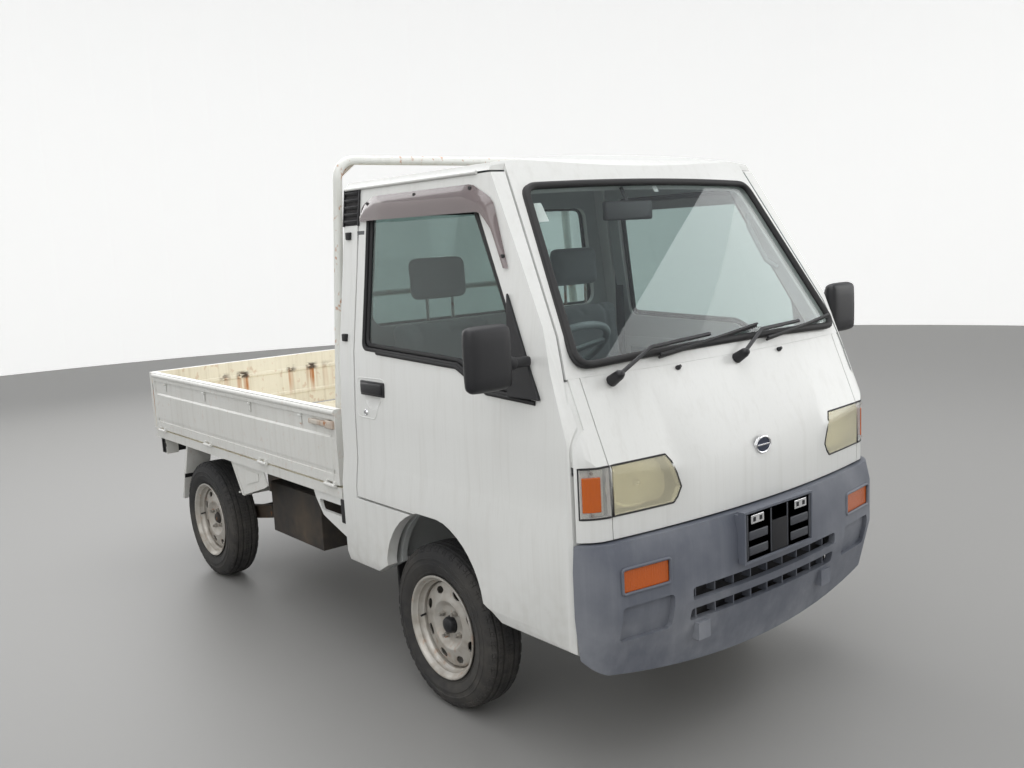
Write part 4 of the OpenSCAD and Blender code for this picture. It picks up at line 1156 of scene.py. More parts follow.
    def rear(self, side: Side) -> None:
        """The rear lamp: red, amber and clear parts in a black housing."""
        x0, x1, y, z0, z1 = 0.5375, 0.6575, 1.6355, 0.520, 0.598
        self.shop.piece(f"rear_lamp_box_{side.tag}", Form().box((x0, y - 0.037, z0), (x1, y - 0.010, z1), 0.004).on(side),
                        BLACK_PLASTIC, "truck", "black_plastic")
        for k, (share0, share1, finish) in enumerate(((0.0, 0.30, CLEAR_LENS), (0.30, 0.62, AMBER_LENS),
                                                      (0.62, 1.0, RED_LENS))):
            a, b = x0 + 0.004 + (x1 - x0 - 0.008) * share0, x0 + 0.004 + (x1 - x0 - 0.008) * share1
            self.shop.piece(f"rear_lens_{k}_{side.tag}",
                            Form().box((a, y - 0.012, z0 + 0.004), (b, y, z1 - 0.004), 0.003).on(side), finish, "truck",
                            "red_lens" if finish is RED_LENS else "lamp_lens")
        if side is Side.LEFT:
            self.shop.dress("rear_lamps", BLACK_PLASTIC)


@dataclass
class Bumper:
    """The moulded bumper with its grille bars, pockets and plate holder."""

    shop: Workshop
    slots: tuple[tuple[float, float], ...] = ((0.416, 0.454), (0.480, 0.518))
    slot_half: float = 0.347

    def build(self) -> None:
        """Makes the bumper's pieces."""
        self.shop.panel("front_bumper", BUMPER_GREY, "bumper_plastic", 0.006, sharp=30)
        fins = Form()
        for z0, z1 in self.slots:
            for k in range(9):
                x = -self.slot_half + 0.035 + k * 0.078
                fins.box((x - 0.002, -1.598 + x * x / 6.8, z0 - 0.003), (x + 0.002, -1.566 + x * x / 6.8, z1 + 0.003))
        self.shop.piece("grille_fins", fins, BUMPER_GREY, "truck", "bumper_plastic")
        # A near-black sheet behind the grille slots: painted shade of the bumper's inside.
        backs = Form().box((-0.36, -1.560, 0.405), (0.36, -1.556, 0.530))
        self.shop.piece("grille_back", backs, PAINTED_SHADE, "truck")
        hook = Form().rod((0.17, -1.575, 0.500), (0.17, -1.545, 0.500), 0.010)
        self.shop.piece("grille_clip", hook, BOLT_STEEL, "truck")
        for side in Side:
            pocket = Form().sheet(0.408, 0.600, 0.408, 0.526, lambda x, z: CAB.bumper_y(x, z) + 0.017, 0.004)
            self.shop.piece(f"bumper_pocket_{side.tag}", pocket.on(side), BUMPER_GREY, "truck", "bumper_plastic")
        holder = Form()
        for s in (-1, 1):
            holder.box((s * 0.100 - 0.045, -1.6465, 0.612), (s * 0.100 + 0.045, -1.638, 0.640), 0.005)
            holder.box((s * 0.100 - 0.045, -1.6465, 0.566), (s * 0.100 + 0.045, -1.638, 0.594), 0.005)
            holder.box((s * 0.152 - 0.004, -1.6465, 0.556), (s * 0.152 + 0.004, -1.638, 0.690), 0.002)
            holder.box((s * 0.040 - 0.003, -1.6465, 0.556), (s * 0.040 + 0.003, -1.640, 0.690), 0.002)
        holder.box((-0.159, -1.6445, 0.552), (0.159, -1.6425, 0.693), 0.001)
        self.shop.piece("plate_holder_ribs", holder, HOLDER_GREY, "truck", "bumper_plastic")
        # Near-black boxes in the holder's middle slot and the pads' slots: painted shade of the openings.
        gap = Form().box((-0.036, -1.6462, 0.556), (0.036, -1.6435, 0.650), 0.001)
        pads = Form()
        for s in (-1, 1):
            pads.box((s * 0.105 - 0.030, -1.6468, 0.660), (s * 0.105 + 0.030, -1.6437, 0.686), 0.002)
            gap.box((s * 0.105 - 0.022, -1.6472, 0.666), (s * 0.105 - 0.008, -1.6437, 0.680), 0.001)
            gap.box((s * 0.105 + 0.008, -1.6472, 0.666), (s * 0.105 + 0.022, -1.6437, 0.680), 0.001)
        self.shop.piece("plate_holder_pads", pads, CHROME, "truck", bevel=0.0006)
        self.shop.piece("plate_holder_gaps", gap, PAINTED_SHADE, "truck")


@dataclass
class Door:
    """A door with its window rubber, handle, lock, mirror and rain visor."""

    shop: Workshop
    side: Side
    rear_y: float = -0.393
    axle_y: float = -0.814

    @property
    def body(self) -> str:
        """The door's body."""
        return f"door_{self.side.tag}"

    def name(self, what: str) -> str:
        """A piece's name with the door's side."""
        return f"{what}_{self.side.tag}"

    def build(self) -> None:
        """Makes the door's pieces."""
        sign = self.side.value
        dish = Form().ball((CAB.side_x(0.995) + 0.004, -0.507, 0.998), (0.021, 0.052, 0.036))
        self.shop.panel(self.body, BODY_WHITE, "body_paint", 0.003, inner=CAB_INNER,
                        is_inner=lambda c, n: n.x * sign < -0.5 and c.x * sign < 0.664, cutters=dish.on(self.side))
        self.shop.dress(self.name("door_glass"), TINTED)
        self.window_rubber()
        self.handle()
        self.mirror()
        self.visor()
        self.inside()

    def window_outline(self, grow: float = 0.0) -> list[tuple[float, float]]:
        """The window's edge in Y and Z, without its front side, from front low round the back to front high."""
        f, b, g = CAB.front, CAB.belt, grow
        corners = [(f + 0.298 - g, b - 0.060 - g), (self.axle_y - 0.320, b - 0.051 - g),
                   (self.axle_y - 0.172, b + 0.014 - g), (self.rear_y - 0.055 + g, b + 0.034 - g),
                   (self.rear_y - 0.055 + g, CAB.gutter - 0.062 + g), (f + 0.622 - g, CAB.gutter - 0.062 + g),
                   (f + 0.497 - g, b + 0.290)]
        return corners

    def window_rubber(self) -> None:
        """The black rubber round the glass and the wiper strip along its foot."""
        outline = spaced(rounded(self.window_outline(), 0.026))
        ring = [(CAB.side_x(z) - 0.004, y, z) for y, z in outline]
        self.shop.tube(self.name("window_rubber"), ring, 0.0075, RUBBER, self.body, closed=True, side=self.side)
        inner = spaced(rounded(self.window_outline(-0.012), 0.026))
        self.shop.tube(self.name("window_channel"), [(CAB.side_x(z) - 0.013, y, z) for y, z in inner], 0.0085, RUBBER,
                       self.body, closed=True, side=self.side)
        foot = self.window_outline()[:4]
        strip = [(CAB.side_x(a[1] + (b[1] - a[1]) * k / 6) + 0.001, a[0] + (b[0] - a[0]) * k / 6,
                  a[1] + (b[1] - a[1]) * k / 6 - 0.006) for a, b in zip(foot, foot[1:]) for k in range(6)]
        self.shop.tube(self.name("belt_strip"), strip, 0.0065, RUBBER, self.body, side=self.side)

    def handle(self) -> None:
        """The paddle handle over its finger recess, the lock and the pressed border round them."""
        x = CAB.side_x(1.0)
        paddle = Form().box((x - 0.003, -0.574, 1.014), (x + 0.011, -0.444, 1.052), 0.0068)
        paddle.box((x - 0.004, -0.583, 1.008), (x + 0.004, -0.436, 1.058), 0.0035)
        self.shop.piece(self.name("handle"), paddle.on(self.side), BLACK_PLASTIC, self.body, "black_plastic")
        lock = Form().lathe([(0.0, 0.003), (0.008, 0.004), (0.010, 0.002), (0.0115, 0.0)],
                            (CAB.side_x(0.948) + 0.0005, -0.463, 0.948), (1, 0, 0), 24)
        lock.box((CAB.side_x(0.948) + 0.003, -0.4645, 0.943), (CAB.side_x(0.948) + 0.0045, -0.4615, 0.953))
        self.shop.piece(self.name("door_lock"), lock.on(self.side), CHROME, self.body)
        border = rounded([(-0.592, 1.068), (-0.408, 1.065), (-0.408, 0.930), (-0.520, 0.930)], 0.022)
        self.shop.tube(self.name("handle_border"), [(CAB.side_x(z) - 0.0012, y, z) for y, z in spaced(border)], 0.0026,
                       BODY_WHITE, self.body, closed=True, slot="body_paint", side=self.side)

    def mirror(self) -> None:
        """The mirror's shell, its glass and its pivot."""
        shell = Form().box((0.7395, -1.3555, 1.112), (0.8905, -1.3035, 1.291), 0.0255)
        made = self.shop.piece(self.name("mirror_shell"), shell.on(self.side), BLACK_PLASTIC, self.body,
                               "black_plastic", sharp=60, smooth=1)
        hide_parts(self.name("mirror"))
        sail = Form().prism([(CAB.side_x(z) + out, y, z) for y, z, out in (
            (-1.3740, 1.074, 0.001), (-1.2390, 1.074, 0.001), (-1.2190, 1.360, 0.001))], (0.011, 0, 0))
        self.shop.piece(self.name("mirror_sail"), sail.on(self.side), BLACK_PLASTIC, self.body, "black_plastic",
                        bevel=0.003)
        arm = Form().box((0.6740, -1.345, 1.166), (0.7520, -1.320, 1.194), 0.009)
        self.shop.piece(self.name("mirror_arm"), arm.on(self.side), BLACK_PLASTIC, self.body, "black_plastic")
        corners = rounded([(0.757, 1.130), (0.873, 1.130), (0.873, 1.274), (0.757, 1.274)], 0.020)
        glass = Form().prism([(x, -1.304, z) for x, z in corners], (0, 0.002, 0))
        self.shop.piece(self.name("mirror_glass"), glass.on(self.side), CHROME, self.body, bevel=0.001)
        knuckle = Form().ball((0.735, -1.332, 1.180), (0.020, 0.016, 0.018))
        self.shop.piece(self.name("mirror_pivot"), knuckle.on(self.side), BLACK_PLASTIC, self.body, "black_plastic")

    def visor(self) -> None:
        """The smoked rain visor: a bowed band over the window's top and front, with its screws."""
        upper = rounded([(-0.408, 1.592), (-0.408, 1.642), (-0.486, 1.672), (-1.030, 1.672), (-1.132, 1.622),
                         (-1.214, 1.428)], 0.060, 8)[9:-9] + [(-1.214, 1.428)]
        lower = rounded([(-0.408, 1.590), (-0.414, 1.590), (-0.500, 1.592), (-1.098, 1.590), (-1.150, 1.540),
                         (-1.200, 1.428)], 0.060, 8)[9:-9] + [(-1.200, 1.428)]
        upper, lower = self._even(upper, 44), self._even(lower, 44)
        form, rows, grid = Form(), 7, []
        for i, ((y0, z0), (y1, z1)) in enumerate(zip(upper, lower)):
            ends = min(1.0, 6.0 * min(i, len(upper) - 1 - i) / len(upper))
            line = []
            for k in range(rows + 1):
                t = k / rows
                y, z = y0 + (y1 - y0) * t, z0 + (z1 - z0) * t
                rise = 0.003 + 0.021 * math.sin(min(1.0, t * 1.6) * math.pi / 2) * (0.35 + 0.65 * ends)
                line.append(form.bm.verts.new((CAB.side_x(z) + rise, y, z)))
            grid.append(line)
        for a, b in zip(grid, grid[1:]):
            for k in range(rows):
                form.bm.faces.new((a[k], b[k], b[k + 1], a[k + 1]))
        if form.bm.faces and (form.bm.normal_update() or True):
            if sum(face.normal.x for face in form.bm.faces) < 0:
                bmesh.ops.reverse_faces(form.bm, faces=form.bm.faces[:])
        bmesh.ops.solidify(form.bm, geom=form.bm.faces[:], thickness=0.003)
        made = self.shop.piece(self.name("visor_band"), form.on(self.side), SMOKED, self.body, "visor_plastic",
                               sharp=50)
        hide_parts(self.name("visor"))
        screws = Form()
        for y, z in ((-1.196, 1.462), (-1.030, 1.660), (-0.740, 1.660), (-0.460, 1.648)):
            x = CAB.side_x(z) + 0.010
            screws.rod((x - 0.004, y, z), (x + 0.003, y, z), 0.0055, sides=12)
        self.shop.piece(self.name("visor_screws"), screws.on(self.side), BLACK_PLASTIC, self.body, "black_plastic")

    @staticmethod
    def _even(line: Sequence[tuple[float, float]], n: int) -> list[tuple[float, float]]:
        """A line's points spread evenly along it."""
        lengths = [0.0]
        for p, q in zip(line, line[1:]):
            lengths.append(lengths[-1] + math.dist(p, q))
        spread, at = [], 0
        for k in range(n):
            want = lengths[-1] * k / (n - 1)
            while at < len(lengths) - 2 and lengths[at + 1] < want:
                at += 1
            t = (want - lengths[at]) / max(1e-9, lengths[at + 1] - lengths[at])
            p, q = line[at], line[at + 1]
            spread.append((p[0] + (q[0] - p[0]) * t, p[1] + (q[1] - p[1]) * t))
        return spread

    def inside(self) -> None:
        """The trim board, pull and winder on the door's inner face."""
        x = 0.6445
        board = Form().box((x - 0.006, -1.330, 0.720), (x - 0.0005, -0.440, 1.030), 0.003)
        board.box((x - 0.012, -1.280, 0.780), (x - 0.005, -0.480, 0.900), 0.003)
        self.shop.piece(self.name("door_trim"), board.on(self.side), DASH_GREY, self.body, "dash_plastic")
        winder = Form().rod((x - 0.006, -1.060, 0.860), (x - 0.022, -1.060, 0.860), 0.016)
        winder.box((x - 0.026, -1.066, 0.860), (x - 0.018, -1.054, 0.940), 0.003)
        winder.rod((x - 0.022, -1.060, 0.935), (x - 0.045, -1.060, 0.935), 0.010)
        winder.box((x - 0.036, -0.860, 0.960), (x - 0.026, -0.680, 0.982), 0.005)
        for y in (-0.855, -0.700):
            winder.box((x - 0.030, y, 0.962), (x - 0.004, y + 0.015, 0.980), 0.003)
        self.shop.piece(self.name("window_winder"), winder.on(self.side), BLACK_PLASTIC, self.body, "black_plastic")


@dataclass
class Bed:
    """The load bed with its floor beads, hoop, corner fittings and skirts."""

    shop: Workshop
    floor_z: float = 0.650

    def build(self) -> None:
        """Makes the bed's pieces."""
        self.shop.panel("load_bed", GATE_WHITE, "bed_paint", 0.0025, inner=BED_CREAM,
                        is_inner=lambda c, n: n.z > 0.5 and c.z > 0.64 and abs(c.x) < 0.652
                        or n.y > 0.5 and c.z > 0.66)
        beads = Form()
        for k in range(9):
            x = -0.56 + k * 0.14
            beads.box((x - 0.020, -0.085, self.floor_z - 0.002), (x + 0.020, 1.575, self.floor_z + 0.0022), 0.002)
        self.shop.piece("floor_beads", beads, BED_CREAM, "truck", "bed_paint")
        self.shop.panel("guard_hoop", HOOP_PAINT, "hoop_steel", 0.0, sharp=50)
        plates = Form()
        for s in (-1, 1):
            plates.box((s * 0.500 - 0.042, -0.130, 1.778), (s * 0.500 + 0.042, -0.124, 1.814), 0.002,
                       Matrix.Rotation(s * math.radians(38), 4, "Y"))
            plates.box((s * 0.626 - 0.034, -0.182, 0.6535), (s * 0.626 + 0.022, -0.118, 0.657), 0.001)
        self.shop.piece("hoop_plates", plates, RUSTY_PLATE, "truck", "hoop_steel")
        self.shop.panel("side_skirts", BODY_WHITE, "body_paint", 0.003)
        self.shop.dress("mudguards", GATE_WHITE)
        for side in Side:
            block = Form().box((0.648, -0.262, 0.510), (0.676, -0.222, 0.600), 0.004)
            self.shop.piece(f"skirt_block_{side.tag}", block.on(side), RUBBER, "truck")
            guard = Form().box((0.5465, 0.700, 0.462), (0.6655, 0.708, 0.470), 0.002)
            guard.prism([(0.664, 0.736, 0.602), (0.664, 0.430, 0.602), (0.664, 0.400, 0.545), (0.664, 0.430, 0.530),
                         (0.664, 0.640, 0.466)], (0.004, 0, 0))
            guard.prism([(0.6685, 0.610, 0.585), (0.6685, 0.480, 0.585), (0.6685, 0.480, 0.552),
                         (0.6685, 0.600, 0.520)], (0.003, 0, 0))
            self.shop.piece(f"fender_panel_{side.tag}", guard.on(side), GATE_WHITE, "truck", "bed_paint", bevel=0.002)
            flap = Form().prism([(0.538, 1.3795, 0.320), (0.6665, 1.3795, 0.320), (0.6665, 1.3265, 0.466),
                                 (0.538, 1.3265, 0.466)], (0, 0.008, 0.003))
            self.shop.piece(f"mud_flap_{side.tag}", flap.on(side), RUBBER, "truck", bevel=0.001)
            flap = Form().box((0.5595, -0.4955, 0.2045), (0.6160, -0.4850, 0.4065), 0.002)
            self.shop.piece(f"front_flap_{side.tag}", flap.on(side), RUBBER, "truck")
            # A near-black disc on the bed's end: painted shade of a bracket hole.
            bolt = Form()
            bolt.rod((0.6525, 1.600, 0.560), (0.6560, 1.600, 0.560), 0.012)
            self.shop.piece(f"bracket_hole_{side.tag}", bolt.on(side), PAINTED_SHADE, "truck")


@dataclass
class Gate:
    """A drop gate: its skin, top rail, rope hooks, latches and inner beads, drawn for the body it rides on."""

    shop: Workshop
    node: str
    side: Side | None = None

    def build(self) -> None:
        """Makes the gate's pieces."""
        if self.side:
            self._side_gate(self.side)
        else:
            self._tailgate()

    def _side_gate(self, side: Side) -> None:
        """A side gate."""
        s = side.value
        self.shop.panel(self.node, GATE_WHITE, "bed_paint", 0.0035, inner=BED_CREAM,
                        is_inner=lambda c, n: n.x * s < -0.5)
        x = 0.685
        rail = [(x - 0.004, y, 0.922) for y in (-0.244, 0.4, 1.0, 1.597)]
        self.shop.tube(f"{self.node}_rail", rail, 0.0115, GATE_WHITE, self.node, slot="bed_paint", side=side)
        hooks = Form()
        for y in (0.026, 0.477, 0.958, 1.436):
            hooks.box((x - 0.006, y - 0.006, 0.852), (x - 0.001, y + 0.006, 0.893), 0.002)
            hooks.box((x - 0.006, y - 0.010, 0.884), (x + 0.005, y + 0.010, 0.892), 0.002)
        self.shop.piece(f"{self.node}_hooks", hooks.on(side), HOOP_PAINT, self.node, "bed_paint")
        latch = Form().box((x - 0.005, -0.205, 0.866), (x + 0.008, -0.055, 0.886), 0.004)
        latch.box((x - 0.005, -0.238, 0.862), (x + 0.010, -0.180, 0.892), 0.004)
        latch.rod((x + 0.002, -0.212, 0.862), (x + 0.002, -0.212, 0.892), 0.006)
        self.shop.piece(f"{self.node}_latch", latch.on(side), RUSTY_PLATE, self.node, "bed_paint")
        seam = Form().box((x - 0.002, -0.210, 0.668), (x + 0.0015, -0.202, 0.838), 0.001)
        seam.box((x - 0.002, 1.562, 0.668), (x + 0.0015, 1.570, 0.838), 0.001)
        self.shop.piece(f"{self.node}_flanges", seam.on(side), GATE_WHITE, self.node, "bed_paint")
        beads = Form()
        for z in (0.730, 0.850):
            beads.box((0.6545, -0.200, z - 0.010), (0.658, 1.560, z + 0.010), 0.002)
        self.shop.piece(f"{self.node}_beads", beads.on(side), BED_CREAM, self.node, "bed_paint")

    def _tailgate(self) -> None:
        """The tailgate."""
        self.shop.panel(self.node, GATE_WHITE, "bed_paint", 0.0035, inner=TAILGATE_CREAM,
                        is_inner=lambda c, n: n.y < -0.5)
        rail = [(x, 1.631, 0.922) for x in (-0.682, -0.3, 0.3, 0.682)]
        self.shop.tube("tailgate_rail", rail, 0.0115, GATE_WHITE, self.node, slot="bed_paint")
        beads = Form()
        for z in (0.730, 0.855):
            beads.box((-0.640, 1.6035, z - 0.010), (0.640, 1.608, z + 0.010), 0.002)
        self.shop.piece("tailgate_beads", beads, TAILGATE_CREAM, self.node, "bed_paint")
        latches = Form()
        for s in (-1, 1):
            latches.box((s * 0.645 - 0.030, 1.630, 0.866), (s * 0.645 + 0.030, 1.642, 0.888), 0.004)
            latches.rod((s * 0.625, 1.637, 0.860), (s * 0.625, 1.637, 0.894), 0.006)
            for x in (0.15, 0.42):
                latches.box((s * x - 0.006, 1.629, 0.852), (s * x + 0.006, 1.634, 0.893), 0.002)
        self.shop.piece("tailgate_latches", latches, RUSTY_PLATE, self.node, "bed_paint")


@dataclass
class Wheel:
    """A wheel: a treaded tyre on a pressed steel rim with its nuts and dust cap."""

    shop: Workshop
    axle: str
    side: Side
    centre_x: float = 0.6025
    centre_z: float = 0.272
    tyre_r: float = 0.272
    half_w: float = 0.071
    rim_r: float = 0.171
    steps: int = 120
    holes: int = 8
    nuts: int = 4

    def build(self) -> None:
        """Makes the wheel's pieces."""
        self.y = -0.814 if self.axle == "front" else 1.071
        self.body = f"wheel_{self.axle}_{self.side.tag}"
        self.tag = f"{self.axle}_{self.side.tag}"
        self.centre = (self.centre_x, self.y, self.centre_z)
        self.tyre()
        self.rim()
        self.hub()

    def tyre(self) -> None:
        """The tyre: side wall rings, shoulder lugs and tread blocks between grooves."""
        r, w = self.tyre_r, self.half_w
        half = [(self.rim_r - 0.006, w - 0.018), (self.rim_r + 0.004, w - 0.012), (self.rim_r + 0.010, w - 0.008),
                (self.rim_r + 0.0125, w - 0.0085), (self.rim_r + 0.020, w - 0.004), (self.rim_r + 0.040, w),
                (self.rim_r + 0.0415, w - 0.0022), (self.rim_r + 0.055, w - 0.0022), (self.rim_r + 0.0562, w - 0.0008),
                (self.rim_r + 0.0595, w - 0.0010), (self.rim_r + 0.0607, w - 0.0030),
                (self.rim_r + 0.070, w - 0.005), (r - 0.022, w - 0.010), (r - 0.013, w - 0.0145),
                (r - 0.0065, w - 0.021), (r - 0.0045, w - 0.0265), (r - 0.010, w - 0.0275), (r - 0.010, w - 0.031),
                (r - 0.003, w - 0.032), (r - 0.0022, w - 0.048), (r - 0.0085, w - 0.049), (r - 0.0085, w - 0.053),
                (r - 0.002, w - 0.054), (r - 0.002, 0.004)]
        profile = half + [(rr, -x) for rr, x in reversed(half)]
        profile += [(self.rim_r - 0.012, -w + 0.030), (self.rim_r - 0.012, w - 0.030), half[0]]
        form = Form().lathe(profile, self.centre, (1, 0, 0), self.steps)
        bm = form.bm
        blocks = []
        for face in bm.faces:
            c = face.calc_center_median()
            out = math.hypot(c.y - self.y, c.z - self.centre_z)
            across = abs(c.x - self.centre_x)
            step = round(math.atan2(c.z - self.centre_z, c.y - self.y) / math.tau * self.steps - 0.5)
            radial = Vector((0, c.y - self.y, c.z - self.centre_z)).normalized()
            if out > r - 0.0045 and abs(face.normal.dot(radial)) > 0.8:
                blocks.append(face)
            elif r - 0.020 < out <= r - 0.004 and across > w - 0.024 and step % 3:
                blocks.append(face)
        bmesh.ops.inset_individual(bm, faces=blocks, thickness=0.0014, depth=0.0020)
        made = self.shop.piece(f"tyre_{self.tag}_tread", form.on(self.side), TYRE, self.body, "tyre_rubber", sharp=28)
        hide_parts(f"tyre_{self.tag}")

    def rim(self) -> None:
        """The rim: rolled lip, deep barrel and a pressed disc with oval holes."""
        x0, y0, z0 = self.centre
        w, r = self.half_w, self.rim_r
        barrel = Form().lathe([(r - 0.002, w - 0.0115), (r + 0.001, w - 0.007), (r, w - 0.004), (r - 0.004, w - 0.0035),
                               (r - 0.008, w - 0.007), (r - 0.011, w - 0.016), (r - 0.017, w - 0.020),
                               (r - 0.018, w - 0.034), (r - 0.026, w - 0.040), (r - 0.026, -w + 0.030),
                               (r - 0.017, -w + 0.016), (r, -w + 0.004), (r - 0.003, -w + 0.012),
                               (r - 0.010, -w + 0.022), (r - 0.020, -w + 0.032), (r - 0.020, w - 0.046),
                               (r - 0.012, w - 0.030), (r - 0.010, w - 0.020), (r - 0.002, w - 0.0115)],
                              self.centre, (1, 0, 0), 72)
        made = self.shop.piece(f"rim_{self.tag}_barrel", barrel.on(self.side), WHEEL_PAINT, self.body, "wheel_steel",
                               sharp=50)
        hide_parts(f"rim_{self.tag}")
        disc = Form().lathe([(0.030, 0.0215), (0.058, 0.0215), (0.066, 0.0245), (0.075, 0.0345), (0.081, 0.0375),
                             (0.089, 0.0370), (0.100, 0.0325), (0.112, 0.0300), (0.130, 0.0290), (0.139, 0.0240),
                             (0.146, 0.0120), (0.150, 0.0110), (0.147, 0.0080), (0.142, 0.0100), (0.134, 0.0220),
                             (0.128, 0.0250), (0.112, 0.0262), (0.099, 0.0288), (0.088, 0.0332), (0.082, 0.0337),
                             (0.077, 0.0312), (0.068, 0.0212), (0.059, 0.0177), (0.030, 0.0177), (0.030, 0.0215)],
                            self.centre, (1, 0, 0), 72)
        cutters = Form()
        for k in range(self.holes):
            a = math.tau * (k + 0.5) / self.holes
            spot = Vector((x0 + 0.028, y0 + 0.1165 * math.cos(a), z0 + 0.1165 * math.sin(a)))
            stand = Matrix.Rotation(a, 4, "X") @ Matrix.Rotation(math.pi / 2, 4, "Y")
            bmesh.ops.create_cone(cutters.bm, cap_ends=True, segments=24, radius1=0.0125, radius2=0.0125, depth=0.05,
                                  matrix=Matrix.Translation(spot) @ stand @ Matrix.Diagonal((1.6, 1.0, 1.0, 1.0)))
        disc.cut(cutters)
        self.shop.piece(f"rim_{self.tag}_disc", disc.on(self.side), WHEEL_PAINT, self.body, "wheel_steel", sharp=40,
                        bevel=0.0008)

    def hub(self) -> None:
        """The hub face, dust cap, studs and nuts."""
        x0, y0, z0 = self.centre
        cap_r = 0.0275 if self.axle == "front" else 0.024
        length = 0.047 if self.axle == "front" else 0.036
        face = Form().lathe([(0.0, 0.020), (0.034, 0.020), (0.036, 0.016), (0.036, -0.030), (0.0, -0.030)],
                            self.centre, (1, 0, 0), 40)
        self.shop.piece(f"hub_{self.tag}", face.on(self.side), CAST_IRON, self.body, bevel=0.001)
        cap = Form().lathe([(0.0, length), (cap_r * 0.55, length - 0.001), (cap_r * 0.86, length - 0.005),
                            (cap_r, length - 0.013), (cap_r, 0.020), (cap_r + 0.003, 0.0195)], self.centre, (1, 0, 0), 40)
        self.shop.piece(f"dust_cap_{self.tag}", cap.on(self.side),
                        BLACK_PLASTIC if self.axle == "front" else CAST_IRON, self.body)
        nuts = Form()
        for k in range(self.nuts):
            a = math.tau * (k + 0.35) / self.nuts
            dy, dz = 0.050 * math.cos(a), 0.050 * math.sin(a)
            nuts.rod((x0 + 0.020, y0 + dy, z0 + dz), (x0 + 0.034, y0 + dy, z0 + dz), 0.0105, 0.0098, sides=6)
            nuts.rod((x0 + 0.030, y0 + dy, z0 + dz), (x0 + 0.043, y0 + dy, z0 + dz), 0.0058, sides=16)
        self.shop.piece(f"wheel_nuts_{self.tag}", nuts.on(self.side), BOLT_STEEL, self.body, bevel=0.0008)
        valve = Form().rod((x0 + 0.030, y0 + 0.138, z0), (x0 + 0.052, y0 + 0.134, z0), 0.0035)
        self.shop.piece(f"valve_{self.tag}", valve.on(self.side), RUBBER, self.body)


